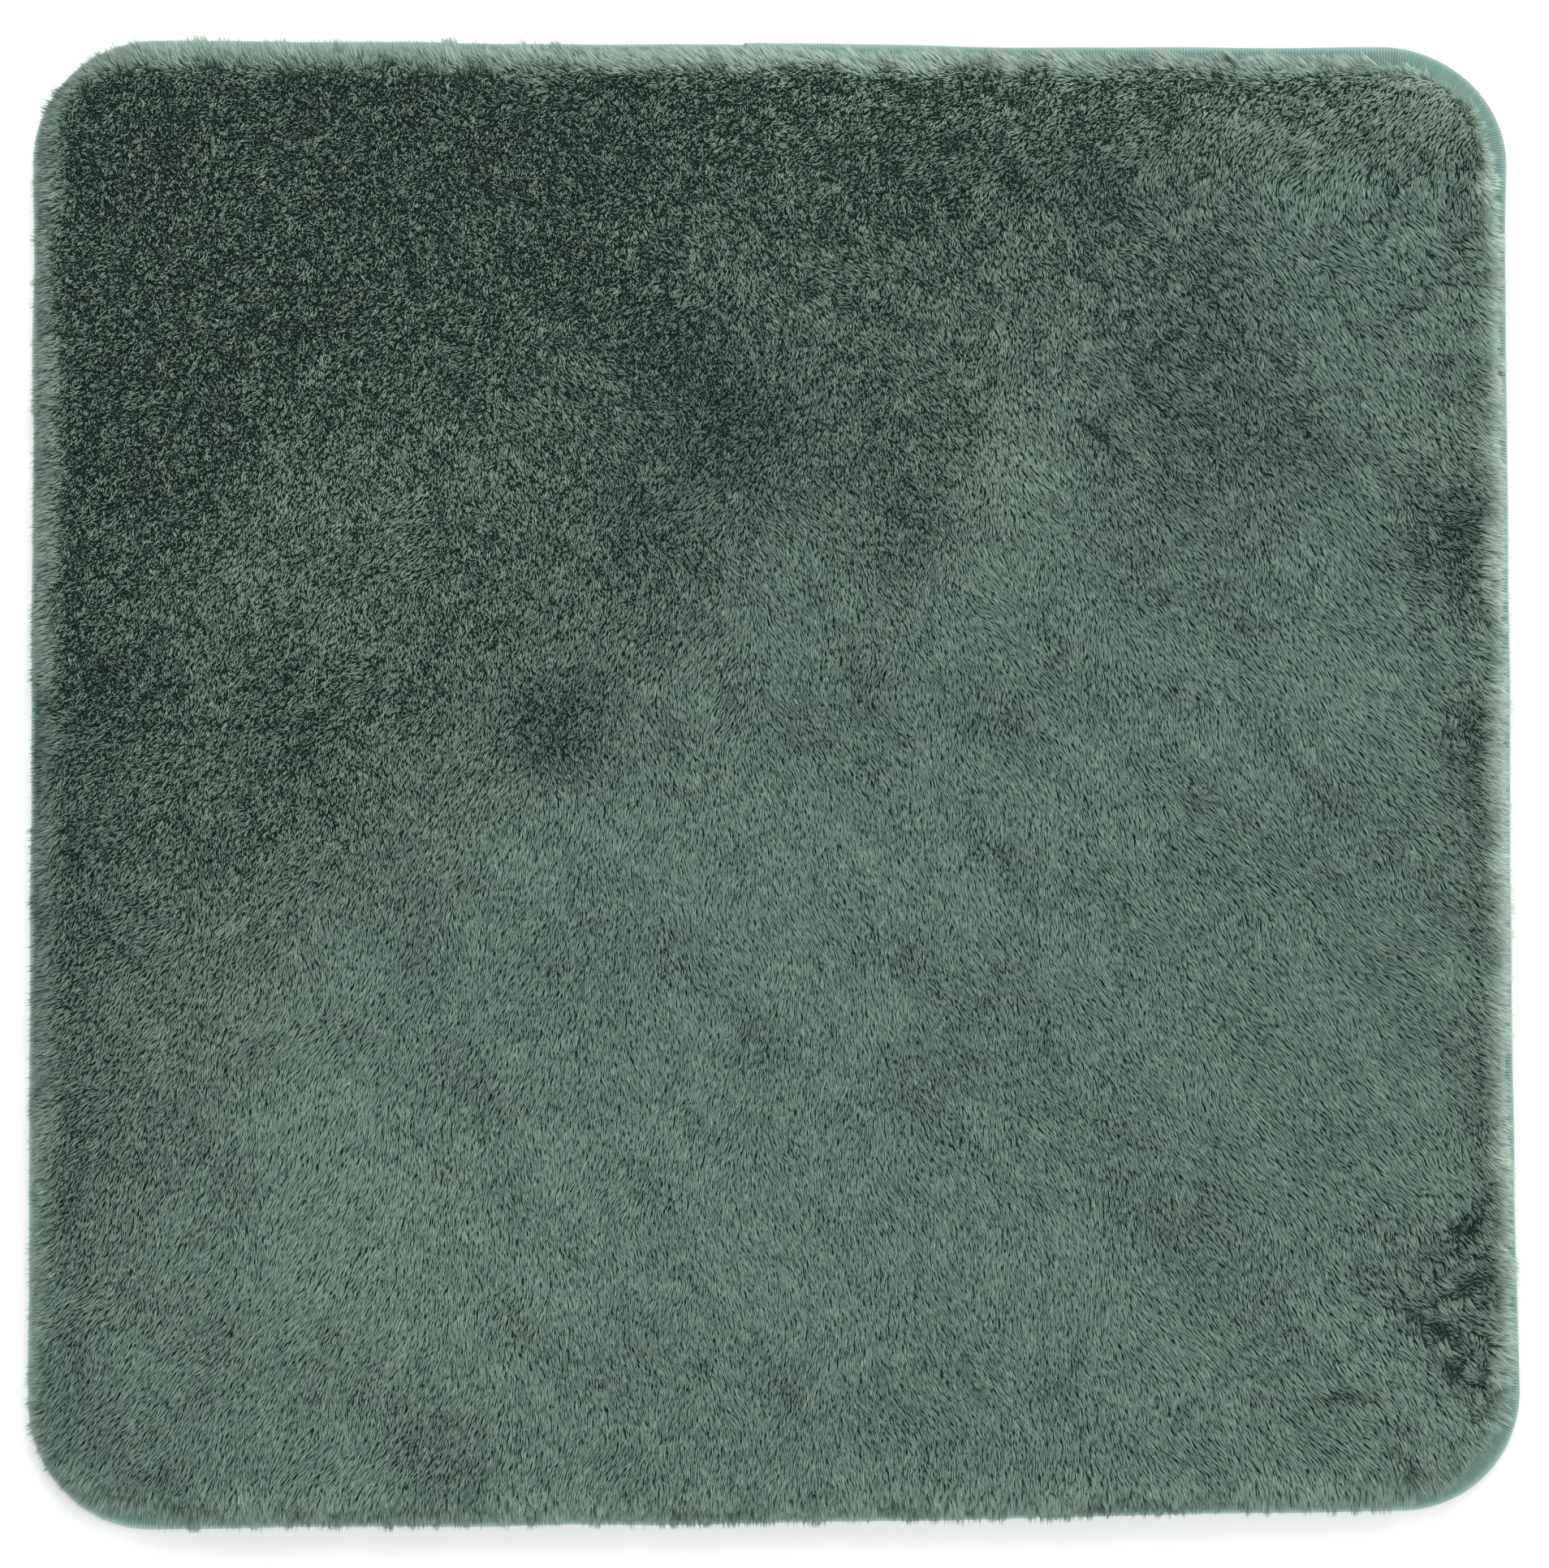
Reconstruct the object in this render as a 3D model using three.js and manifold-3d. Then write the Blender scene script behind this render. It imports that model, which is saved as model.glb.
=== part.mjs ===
// Plush bath mat, bound with a folded ribbed tape.
//
// Units are millimetres, +Z is up, and the origin is on the floor under the middle of the mat. +Y is the edge
// that carries the lap of the binding tape. From the floor up, the mat is a stack: rubber grip dots, a backing
// cloth, a foam core, the knitted ground cloth and the fur pile that is knitted into it. The core stops short of
// the edge, where the two cloths come together and the binding tape is folded over them and sewn through.

import * as THREE from "three";
import { mergeVertices } from "three/addons/utils/BufferGeometryUtils.js";
import Module from "manifold-3d";

// ---- Driving dimensions ----

// The outline, measured over the fold of the binding tape.
const matWidth = 600;
const matDepth = 600;
const cornerRadius = 50;

// The layers, from the floor up, and the gap that keeps two layers from sharing a face.
const dotHeight = 2;
const backingThickness = 1;
const foamThickness = 8;
const groundThickness = 1.5;
const pileHeight = 16;
const layerGap = 0.3;

// The binding tape: its legs lie flat above and below the cloths' edge, on either side of the fold. At the lap
// its end lies over its start, and is pressed into it by the bite.
const tapeThickness = 0.8;
const tapeLeg = 12;
const lapLength = 25;
const lapStart = -12;
const lapBite = 0.1;

// The lock stitch that holds the tape: one thread shows above and the other below.
const threadDiameter = 0.5;
const seamToTapeEdge = 3;

// Where the foam core starts, inwards from the tape's inner edge, and the slope of its cut edge.
const foamToTape = 2;
const foamEdgeSlope = Math.PI / 4;

// The rubber grip dots: a flat foot, a rounded flank and a wider base that is fused to the backing cloth.
const dotDiameter = 16;
const dotFootDiameter = 13;
const dotFlankHeight = 0.8;
const dotColumns = 7;
const dotRows = 7;
const dotMargin = 45;

// How near the pile comes to the fold, and how far in it rounds off to the crown.
const pileToFold = 3;
const pileCrownInset = 22;

// Steps of each corner's arc, the tape's fold, the pile's swell, a thread's section and a dot's circle.
const cornerSteps = 9;
const foldSteps = 8;
const swellSteps = 6;
const threadSides = 6;
const dotSides = 16;

// ---- Levels and insets that follow from them ----

const backingBottom = dotHeight + layerGap;
const backingTop = backingBottom + backingThickness;

const foamBottom = backingTop + layerGap;
const foamTop = foamBottom + foamThickness;

const groundRimBottom = backingTop + layerGap;
const groundRimTop = groundRimBottom + groundThickness;
const groundBottom = foamTop + layerGap;
const groundTop = groundBottom + groundThickness;

const pileBottom = groundTop + layerGap;
const pileTop = pileBottom + pileHeight;

const lowerLegTop = backingBottom - layerGap;
const lowerLegBottom = lowerLegTop - tapeThickness;
const upperLegBottom = groundRimTop + layerGap;
const upperLegTop = upperLegBottom + tapeThickness;

// The fold is a half round that joins the legs, so the cloths are cut back to where it begins.
const foldRadius = (upperLegTop - lowerLegBottom) / 2;
const foldHeight = (upperLegTop + lowerLegBottom) / 2;
const clothInset = foldRadius;

// A second turn of tape stands this far off the first, less what it is pressed in.
const lapSwell = tapeThickness - lapBite;

const threadRadius = threadDiameter / 2;
const seamInset = tapeLeg - seamToTapeEdge;
const needleHeight = upperLegTop + layerGap + threadRadius;
const bobbinHeight = lowerLegBottom - layerGap - threadRadius;

// The corner arcs' centres, which every layer shares whatever its own inset.
const cornerX = matWidth / 2 - cornerRadius;
const cornerY = matDepth / 2 - cornerRadius;

// ---- Colours ----

const finish = {
  pile: { color: 0x7f9c93, roughness: 0.95, metalness: 0 },
  ground: { color: 0x3f5952, roughness: 0.95, metalness: 0 },
  tape: { color: 0x3f8378, roughness: 0.75, metalness: 0 },
  thread: { color: 0x4a8a7f, roughness: 0.6, metalness: 0 },
  foam: { color: 0xe9e4d6, roughness: 0.9, metalness: 0 },
  backing: { color: 0xb9bdb9, roughness: 0.9, metalness: 0 },
  rubber: { color: 0xe4e6e3, roughness: 0.55, metalness: 0 },
};

const mat = new THREE.Group();

function addPiece(name, geometry, look) {
  const piece = new THREE.Mesh(geometry, new THREE.MeshStandardMaterial(finish[look]));
  piece.name = name;
  mat.add(piece);
  return piece;
}

// ---- Turning a profile round the outline ----

// A lathe that follows the mat's outline instead of a circle. The profile's points are [inset, height], where
// the inset is measured inwards from the outline and MIDDLE stands for the centre of the mat. The lathe's steps
// are shared out among the four corner arcs, and each quarter is then pushed out to the centre of its corner,
// which leaves a straight run between one corner and the next. A profile is drawn up its outer side.
const MIDDLE = Infinity;

function turnRoundOutline(profile) {
  const section = profile.map(([inset, height]) =>
    new THREE.Vector2(inset === MIDDLE ? 0 : cornerRadius - inset, height));
  const stepsPerCorner = cornerSteps + 1;
  const steps = 4 * stepsPerCorner;
  const geometry = new THREE.LatheGeometry(section, steps);
  const position = geometry.attributes.position;
  for (let i = 0; i < position.count; i++) {
    const step = Math.floor(i / section.length) % steps;
    const corner = Math.floor(step / stepsPerCorner);
    const angle = (corner + (step % stepsPerCorner) / cornerSteps) * (Math.PI / 2);
    const middle = (corner + 0.5) * (Math.PI / 2);
    const { x: radius, y: height } = section[i % section.length];
    const centreX = radius > 0 ? cornerX * Math.sign(Math.cos(middle)) : 0;
    const centreY = radius > 0 ? cornerY * Math.sign(Math.sin(middle)) : 0;
    position.setXYZ(
      i,
      centreX + radius * Math.cos(angle),
      centreY + radius * Math.sin(angle),
      height,
    );
  }
  geometry.computeVertexNormals();
  return geometry;
}

// ---- Joining two solids ----

const wasm = await Module();
wasm.setup();

function toSolid(geometry) {
  const bare = geometry.clone();
  bare.deleteAttribute("normal");
  bare.deleteAttribute("uv");
  const merged = mergeVertices(bare, 1e-4);
  return new wasm.Manifold(new wasm.Mesh({
    numProp: 3,
    vertProperties: merged.attributes.position.array,
    triVerts: new Uint32Array(merged.index.array),
  }));
}

function toGeometry(solid) {
  const mesh = solid.getMesh();
  const geometry = new THREE.BufferGeometry();
  geometry.setAttribute("position", new THREE.BufferAttribute(mesh.vertProperties, 3));
  geometry.setIndex(new THREE.BufferAttribute(mesh.triVerts, 1));
  geometry.computeVertexNormals();
  return geometry;
}

// ---- The cloths and the core ----

function backingCloth() {
  return turnRoundOutline([
    [MIDDLE, backingBottom],
    [clothInset, backingBottom],
    [clothInset, backingTop],
    [MIDDLE, backingTop],
  ]);
}

// The foam is cut on a slope, so that the cloths above and below can meet at the edge.
const foamFootInset = tapeLeg + foamToTape;
const foamShoulderInset = foamFootInset + foamThickness / Math.tan(foamEdgeSlope);

function foamCore() {
  return turnRoundOutline([
    [MIDDLE, foamBottom],
    [foamFootInset, foamBottom],
    [foamShoulderInset, foamTop],
    [MIDDLE, foamTop],
  ]);
}

// A layer that lies a height above the slope turns its two corners this far further out.
function shiftAbove(height) {
  return height * Math.tan(foamEdgeSlope / 2);
}

// The sloping layers keep their gap square to the slope, and their lower faces lie gap above the foam's.
const groundFootInset = foamFootInset - layerGap / Math.sin(foamEdgeSlope);
const groundShoulderInset = foamShoulderInset - shiftAbove(layerGap);

function groundCloth() {
  const rise = shiftAbove(groundThickness);
  return turnRoundOutline([
    [MIDDLE, groundBottom],
    [groundShoulderInset, groundBottom],
    [groundFootInset, groundRimBottom],
    [clothInset, groundRimBottom],
    [clothInset, groundRimTop],
    [groundFootInset - rise, groundRimTop],
    [groundShoulderInset - rise, groundTop],
    [MIDDLE, groundTop],
  ]);
}

// ---- The pile ----

// The pile stands on the ground cloth inside the tape, swells out over it and rounds off to the crown.
function furPile() {
  const rise = shiftAbove(groundThickness + layerGap);
  const footInset = tapeLeg + layerGap;
  const rimBottom = groundRimTop + layerGap;
  const overTape = upperLegTop + Math.max(lapSwell, layerGap + threadDiameter) + layerGap;
  const swell = new THREE.EllipseCurve(
    pileCrownInset, overTape,
    pileCrownInset - pileToFold, pileTop - overTape,
    Math.PI, Math.PI / 2, true,
  ).getPoints(swellSteps);
  return turnRoundOutline([
    [MIDDLE, pileBottom],
    [groundShoulderInset - rise, pileBottom],
    [groundFootInset - rise, rimBottom],
    [footInset, rimBottom],
    [footInset, overTape],
    ...swell.map(({ x, y }) => [x, y]),
    [MIDDLE, pileTop],
  ]);
}

// ---- The binding tape and its seam ----

// The tape's section as [inset, height] points: out along the bottom, up round the fold, in along the top, and
// back round the inside. A swell above 0 gives the larger section of a second turn that lies on the first.
function tapeSection(swell) {
  const halfRound = (radius, from, to) => new THREE.EllipseCurve(
    foldRadius, foldHeight, radius, radius, from, to, from > to,
  ).getPoints(foldSteps).map(({ x, y }) => [x, y]);
  const bottom = 1.5 * Math.PI;
  const top = 0.5 * Math.PI;
  return [
    [tapeLeg, lowerLegBottom - swell],
    ...halfRound(foldRadius + swell, bottom, top),
    [tapeLeg, upperLegTop + swell],
    [tapeLeg, upperLegBottom + swell],
    ...halfRound(foldRadius - tapeThickness + swell, top, bottom),
    [tapeLeg, lowerLegTop - swell],
    [tapeLeg, lowerLegBottom - swell],
  ];
}

// A ring of round section that follows the seam at one height.
function seamRing(height, radius) {
  const section = new THREE.EllipseCurve(
    seamInset, height, radius, radius, 1.5 * Math.PI, -0.5 * Math.PI, true,
  ).getPoints(threadSides);
  return turnRoundOutline(section.map(({ x, y }) => [x, y]));
}

// The tape goes once round the mat and its end is folded over its start, on the +Y edge. The two turns are one
// strip, so they are one solid, with a groove where the seam draws the second turn down to the first.
function bindingTape() {
  const outline = tapeSection(lapSwell).map(([inset, height]) => new THREE.Vector2(inset, height));
  const lap = new THREE.ExtrudeGeometry(new THREE.Shape(outline), {
    depth: lapLength,
    bevelEnabled: false,
  });
  const alongEdge = new THREE.Matrix4().makeBasis(
    new THREE.Vector3(0, -1, 0),
    new THREE.Vector3(0, 0, 1),
    new THREE.Vector3(-1, 0, 0),
  );
  alongEdge.setPosition(lapStart + lapLength, matDepth / 2, 0);
  lap.applyMatrix4(alongEdge);
  const grooveRadius = threadRadius + layerGap;
  return toGeometry(
    toSolid(lap)
      .subtract(toSolid(seamRing(needleHeight, grooveRadius)))
      .subtract(toSolid(seamRing(bobbinHeight, grooveRadius)))
      .add(toSolid(turnRoundOutline(tapeSection(0)))),
  );
}

// ---- The grip dots ----

function gripDot() {
  const dot = new THREE.LatheGeometry([
    new THREE.Vector2(0, 0),
    new THREE.Vector2(dotFootDiameter / 2, 0),
    new THREE.Vector2(dotDiameter / 2, dotFlankHeight),
    new THREE.Vector2(dotDiameter / 2, dotHeight),
    new THREE.Vector2(0, dotHeight),
  ], dotSides);
  dot.rotateX(Math.PI / 2);
  return dot;
}

function addGripDots() {
  const spacingX = (matWidth - 2 * dotMargin) / (dotColumns - 1);
  const spacingY = (matDepth - 2 * dotMargin) / (dotRows - 1);
  for (let row = 0; row < dotRows; row++) {
    for (let column = 0; column < dotColumns; column++) {
      const dot = addPiece(`grip_dot_r${row + 1}_c${column + 1}`, gripDot(), "rubber");
      dot.position.set(
        (column - (dotColumns - 1) / 2) * spacingX,
        (row - (dotRows - 1) / 2) * spacingY,
        0,
      );
    }
  }
}

// ---- The mat ----

addGripDots();
addPiece("backing_cloth", backingCloth(), "backing");
addPiece("foam_core", foamCore(), "foam");
addPiece("ground_cloth", groundCloth(), "ground");
addPiece("fur_pile", furPile(), "pile");
addPiece("binding_tape", bindingTape(), "tape");
addPiece("needle_thread", seamRing(needleHeight, threadRadius), "thread");
addPiece("bobbin_thread", seamRing(bobbinHeight, threadRadius), "thread");

export default mat;
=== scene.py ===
# %% [markdown]
# # A plush bath mat
#
# This mat is a sandwich that is sewn shut round its edge. From the floor up it has rubber grip dots, a
# backing cloth, a foam core, and a knitted ground cloth that carries a long fur pile. A ribbed tape is
# folded over the edge of the two cloths and sewn through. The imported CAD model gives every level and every
# outline, so the lesson starts by loading it, and each new piece then goes where the model says.

# %% Load the frame
import math

import bmesh
import bpy
import numpy as np
from mathutils import Matrix, Vector


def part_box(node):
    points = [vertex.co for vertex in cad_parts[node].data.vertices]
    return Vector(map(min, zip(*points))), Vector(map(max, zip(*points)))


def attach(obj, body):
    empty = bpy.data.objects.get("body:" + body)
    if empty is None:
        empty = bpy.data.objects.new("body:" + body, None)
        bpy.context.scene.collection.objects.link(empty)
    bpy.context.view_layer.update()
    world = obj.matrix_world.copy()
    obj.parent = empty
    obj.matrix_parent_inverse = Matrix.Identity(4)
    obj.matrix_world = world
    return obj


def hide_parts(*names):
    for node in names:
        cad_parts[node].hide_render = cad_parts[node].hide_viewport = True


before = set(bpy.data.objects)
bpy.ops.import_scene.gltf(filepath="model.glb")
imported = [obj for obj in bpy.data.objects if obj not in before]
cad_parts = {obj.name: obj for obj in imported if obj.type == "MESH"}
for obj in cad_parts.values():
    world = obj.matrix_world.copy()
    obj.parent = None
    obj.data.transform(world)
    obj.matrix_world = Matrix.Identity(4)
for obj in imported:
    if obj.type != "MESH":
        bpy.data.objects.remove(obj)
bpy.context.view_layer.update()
MM = 0.001

# %% [markdown]
# ## Sizes
#
# A flat, layered thing is ruled by its levels, the heights at which one layer ends and the next begins,
# and by its insets, how far each layer stops short of the outline. All the heights come from the nodes'
# boxes. Only what a box can't tell is given here: the corner's radius, the gap between two
# layers, and how far the tape reaches in beyond its seam.

# %% Levels and insets
CORNER = 50 * MM
GAP = 0.3 * MM
BEYOND_SEAM = 3 * MM

backing_low, backing_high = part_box("backing_cloth")
foam_low, foam_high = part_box("foam_core")
ground_low, ground_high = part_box("ground_cloth")
pile_low, pile_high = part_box("fur_pile")
needle_low, needle_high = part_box("needle_thread")
bobbin_low, bobbin_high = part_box("bobbin_thread")

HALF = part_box("binding_tape")[1].x
CLOTH_INSET = HALF - ground_high.x
FOAM_FOOT = HALF - foam_high.x
FOAM_THICK = foam_high.z - foam_low.z
BACKING_THICK = backing_high.z - backing_low.z
# The ground cloth's under face lies on the foam's upper face, one gap above it.
GROUND_THICK = ground_high.z - foam_high.z - GAP
THREAD = needle_high.z - needle_low.z

# The tape's legs lie one gap above the ground cloth and one gap below the backing.
TAPE_BOTTOM = bobbin_high.z + GAP
TAPE_TOP = needle_low.z - GAP
FOLD = (TAPE_TOP - TAPE_BOTTOM) / 2
FOLD_HEIGHT = (TAPE_TOP + TAPE_BOTTOM) / 2
TAPE_THICK = backing_low.z - GAP - TAPE_BOTTOM
SEAM_INSET = HALF - (needle_high.x - THREAD / 2)
TAPE_LEG = SEAM_INSET + BEYOND_SEAM
print("fold radius, mm:", round(FOLD / MM, 2), " tape leg, mm:", round(TAPE_LEG / MM, 2))

# %% [markdown]
# ## The camera
#
# A mat's picture is taken from nearly straight above, with a long lens from a good way off, so that the
# square stays square. The camera stands a little towards the near edge and tips forward by the same few
# degrees.

# %% Camera
VIEW_RANGE = 2.3
VIEW_TIP = math.radians(4.4)
VIEW_LEAN = math.radians(3.6)
VIEW_ROLL = math.radians(-0.32)
PICTURE_LONG = 0.6335
SENSOR = 36.0
AIM_X = -0.0013
AIM_Y = -0.003


def make_camera():
    camera = bpy.data.objects.new("camera", bpy.data.cameras.new("camera"))
    bpy.context.scene.collection.objects.link(camera)
    aim = Vector((AIM_X, AIM_Y, pile_low.z))
    back = Vector((-math.sin(VIEW_LEAN), -math.sin(VIEW_TIP), math.cos(VIEW_TIP))).normalized()
    across = Vector((0.0, 1.0, 0.0)).cross(back).normalized()
    turn = Matrix((across, back.cross(across), back)).transposed() @ Matrix.Rotation(VIEW_ROLL, 3, "Z")
    camera.location = aim + back * VIEW_RANGE
    camera.rotation_euler = turn.to_euler()
    camera.data.sensor_width = SENSOR
    camera.data.lens = SENSOR * VIEW_RANGE / PICTURE_LONG
    camera.data.clip_end = 20
    bpy.context.scene.camera = camera
    return camera


camera = make_camera()
print("lens, mm:", round(camera.data.lens, 1))

# %% [markdown]
# ## Shader maths as expressions
#
# A pattern in a material is a formula: so many ribs per metre, darker in the grooves. Written as nodes and
# links, a formula is hard to read, so a small class wraps a socket and lets Python's own operators add the
# Math nodes. A second class holds one material and makes any other node from its type, settings and
# inputs; the few kinds that this mat's finishes share have a short method each.

# %% Wires
class Wire:
    """One output socket of a shader node, which can be used in sums."""

    def __init__(self, tree, socket):
        self.tree = tree
        self.socket = socket

    def maths(self, operation, *terms):
        node = self.tree.nodes.new("ShaderNodeMath")
        node.operation = operation
        for slot, term in zip(node.inputs, terms):
            plug(self.tree, term, slot)
        return Wire(self.tree, node.outputs[0])

    def __add__(self, other):
        return self.maths("ADD", self, other)

    def __sub__(self, other):
        return self.maths("SUBTRACT", self, other)

    def __rsub__(self, other):
        return self.maths("SUBTRACT", other, self)

    def __mul__(self, other):
        return self.maths("MULTIPLY", self, other)

    def __truediv__(self, other):
        return self.maths("DIVIDE", self, other)

    __radd__ = __add__
    __rmul__ = __mul__


def plug(tree, value, slot):
    """Links a wire to an input, or sets the input to a plain value."""
    if isinstance(value, Wire):
        tree.links.new(value.socket, slot)
    else:
        slot.default_value = value


# %% Finishes
OBJECT_PLACE = 3
MIXED_COLOUR = 2
# The map that holds a piece's own pattern.
PIECE_MAP = "OFBake"


class Finish:
    """One node material round a Principled shader."""

    def __init__(self, name, **constants):
        self.material = bpy.data.materials.new(name)
        self.material.use_nodes = True
        self.tree = self.material.node_tree
        self.shader = self.tree.nodes["Principled BSDF"]
        for socket, value in constants.items():
            self.shader.inputs[socket.replace("_", " ")].default_value = value

    def node(self, kind, settings=None, inputs=None, output=0):
        made = self.tree.nodes.new("ShaderNode" + kind)
        for name, value in (settings or {}).items():
            if name == "stops":
                ramp = made.color_ramp.elements
                while len(ramp) < len(value):
                    ramp.new(1.0)
                for stop, (place, colour) in zip(ramp, value):
                    stop.position = place
                    stop.color = (*colour, 1.0)
            else:
                setattr(made, name, value)
        for slot, value in (inputs or {}).items():
            plug(self.tree, value, made.inputs[slot])
        return Wire(self.tree, made.outputs[output])

    def feed(self, socket, wire):
        plug(self.tree, wire, self.shader.inputs[socket])

    def blend(self, share, first, second, how="MIX"):
        """Mixes two colours by a share from 0 to 1."""
        return self.node(
            "Mix",
            {"data_type": "RGBA", "blend_type": how},
            {0: share, 6: first, 7: second},
            output=MIXED_COLOUR,
        )

    def bump(self, height, depth):
        """Feeds the normal from a height pattern that stands for so many metres."""
        self.feed("Normal", self.node("Bump", {}, {"Strength": 1.0, "Distance": depth, "Height": height}))

    def where(self):
        """Places on the piece, in its own metres."""
        return self.node("TexCoord", output=OBJECT_PLACE)

    def noise(self, where, scale, detail=2.0, roughness=0.5):
        inputs = {"Vector": where, "Scale": scale, "Detail": detail, "Roughness": roughness}
        return self.node("TexNoise", {}, inputs)

    def axes(self, vector):
        """The first two parts of a vector."""
        parts = self.node("SeparateXYZ", {}, {0: vector}).socket.node
        return Wire(self.tree, parts.outputs[0]), Wire(self.tree, parts.outputs[1])

    def ramp(self, share, *stops):
        """Colours between stops, each a place and a linear colour."""
        return self.node("ValToRGB", {"stops": stops}, {"Fac": share})

    def banded_map(self, count):
        """Reads a piece's map of so many bands: the place across it, the place up its band, and which band
        that is, from 0 for the first to 1 for the last."""
        across, up = self.axes(self.node("UVMap", {"uv_map": PIECE_MAP}))
        band = up * count
        within = band.maths("FRACT", band)
        return across, within, (band - within) / (count - 1)


def colour(red, green, blue):
    """A colour given as it looks on a screen, from 0 to 255, in the linear light that shaders use."""

    def linear(part):
        return part / 255 / 12.92 if part <= 10 else ((part / 255 + 0.055) / 1.055) ** 2.4

    return (linear(red), linear(green), linear(blue), 1.0)


# %% [markdown]
# ## Floor and light
#
# The mat is shown on a plain pale floor, in the soft light of a white tent. One large panel stands beyond
# the far edge, because the pile is combed towards the near one and shows its shape when the light strokes
# over it. A second one on the right softens that, a low one in front keeps the near side from going dark,
# and the sky-like world fills the shadows.

# %% Floor
FLOOR_SIZE = 6.0


def make_floor():
    shape = bmesh.new()
    bmesh.ops.create_grid(shape, x_segments=1, y_segments=1, size=FLOOR_SIZE / 2)
    mesh = bpy.data.meshes.new("floor")
    shape.to_mesh(mesh)
    shape.free()
    floor = bpy.data.objects.new("floor", mesh)
    bpy.context.scene.collection.objects.link(floor)
    paint = Finish("studio_floor", Roughness=0.9)
    mottle = paint.noise(paint.where(), 1.5)
    paint.feed("Base Color", paint.blend(mottle, (0.90, 0.90, 0.90, 1.0), (0.93, 0.93, 0.93, 1.0)))
    mesh.materials.append(paint.material)


make_floor()
print("floor, m:", FLOOR_SIZE)

# %% Lights
# Each panel of light: its place and its side in metres, and its power in watts.
PANELS = {
    "far_panel": ((-0.3, 2.0, 2.5), 1.9, 63),
    "near_panel": ((1.7, -0.9, 2.4), 2.0, 26),
    "front_panel": ((-0.7, -2.4, 0.8), 1.6, 16),
}
SKY_STRENGTH = 0.8


def add_panel(name, place, size, power):
    """A square panel of light that faces the mat."""
    lamp = bpy.data.lights.new(name, "AREA")
    lamp.shape = "SQUARE"
    lamp.size = size
    lamp.energy = power
    panel = bpy.data.objects.new(name, lamp)
    panel.location = place
    panel.rotation_euler = (-Vector(place)).to_track_quat("-Z", "Y").to_euler()
    bpy.context.scene.collection.objects.link(panel)


def light_the_studio():
    for name, (place, size, power) in PANELS.items():
        add_panel(name, place, size, power)
    world = bpy.data.worlds.new("studio")
    world.use_nodes = True
    sky = world.node_tree.nodes["Background"]
    sky.inputs["Color"].default_value = (1.0, 1.0, 1.0, 1.0)
    sky.inputs["Strength"].default_value = SKY_STRENGTH
    bpy.context.scene.world = world
    bpy.context.scene.view_settings.view_transform = "Standard"


light_the_studio()
print("panels of light:", len(PANELS))

# %% [markdown]
# ## The outline
#
# Every layer follows one outline, a square with round corners, at its own inset. Two questions cover all
# that the pieces ask of it. Walking along it: where am I after so many metres, and which way is out? And
# standing anywhere on the mat: how far in from the outline am I, and which way is the nearest edge?

# %% Walking along the outline
STRAIGHT = 2 * (HALF - CORNER)
QUARTER = STRAIGHT + CORNER * math.pi / 2
PERIMETER = 4 * QUARTER


def walk(run):
    """Points on the outline and the outward directions there, for distances run anticlockwise from the
    middle of the +Y edge. The way round is four alike quarters: half a side, a corner, half a side."""
    turns = np.floor(run / QUARTER)
    along = run - turns * QUARTER
    bend = np.clip((along - STRAIGHT / 2) / CORNER, 0, math.pi / 2)
    out = np.stack([-np.sin(bend), np.cos(bend)], -1)
    place = CORNER * out + np.array([-STRAIGHT / 2, STRAIGHT / 2])
    place[..., 0] += np.clip(STRAIGHT / 2 - along, 0, None)
    place[..., 1] -= np.clip(along - STRAIGHT / 2 - CORNER * math.pi / 2, 0, None)
    cos, sin = np.cos(turns * math.pi / 2), np.sin(turns * math.pi / 2)

    def turned(v):
        return np.stack([cos * v[..., 0] - sin * v[..., 1], sin * v[..., 0] + cos * v[..., 1]], -1)

    return turned(place), turned(out)


print("perimeter, mm:", round(PERIMETER / MM))


# %% Measuring in from the outline
def inset_of(x, y):
    """How far in from the outline a point lies, and the outward direction to the nearest part of it."""
    over_x = np.abs(x) - (HALF - CORNER)
    over_y = np.abs(y) - (HALF - CORNER)
    in_corner = (over_x > 0) & (over_y > 0)
    reach = np.hypot(over_x, over_y)
    inset = CORNER - np.where(in_corner, reach, np.maximum(over_x, over_y))
    out_x = np.where(in_corner, over_x / np.maximum(reach, 1e-9), over_x >= over_y) * np.sign(x)
    out_y = np.where(in_corner, over_y / np.maximum(reach, 1e-9), over_x < over_y) * np.sign(y)
    return inset, out_x, out_y


# %% [markdown]
# ## Pieces from the bmesh
#
# Every new piece is made in a bmesh, turned into a mesh, given to an object at the origin, told which
# body it rides on and given a slot with its finish; the CAD nodes that it stands for are hidden.

# %% Finishing a piece
def make_piece(name, mesh, finish, stands_for, smooth=True):
    piece = bpy.data.objects.new(name, mesh)
    bpy.context.scene.collection.objects.link(piece)
    if smooth:
        mesh.shade_smooth()
    mesh.materials.append(finish.material)
    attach(piece, "root")
    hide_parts(*stands_for)
    return piece


def to_mesh(shape, name):
    mesh = bpy.data.meshes.new(name)
    shape.to_mesh(mesh)
    shape.free()
    return mesh


def points_of(mesh):
    points = np.empty(len(mesh.vertices) * 3, np.float32)
    mesh.vertices.foreach_get("co", points)
    return points.reshape(-1, 3).astype(float)


def move_points(mesh, points):
    mesh.vertices.foreach_set("co", points.astype(np.float32).ravel())
    mesh.update()


def corners_of(mesh):
    """The number of the vertex at each face corner."""
    corners = np.empty(len(mesh.loops), np.int32)
    mesh.loops.foreach_get("vertex_index", corners)
    return corners


def set_map(mesh, places):
    """Gives a mesh its own map, one place for each face corner."""
    mesh.uv_layers.new(name=PIECE_MAP).data.foreach_set("uv", places.astype(np.float32).ravel())


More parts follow.
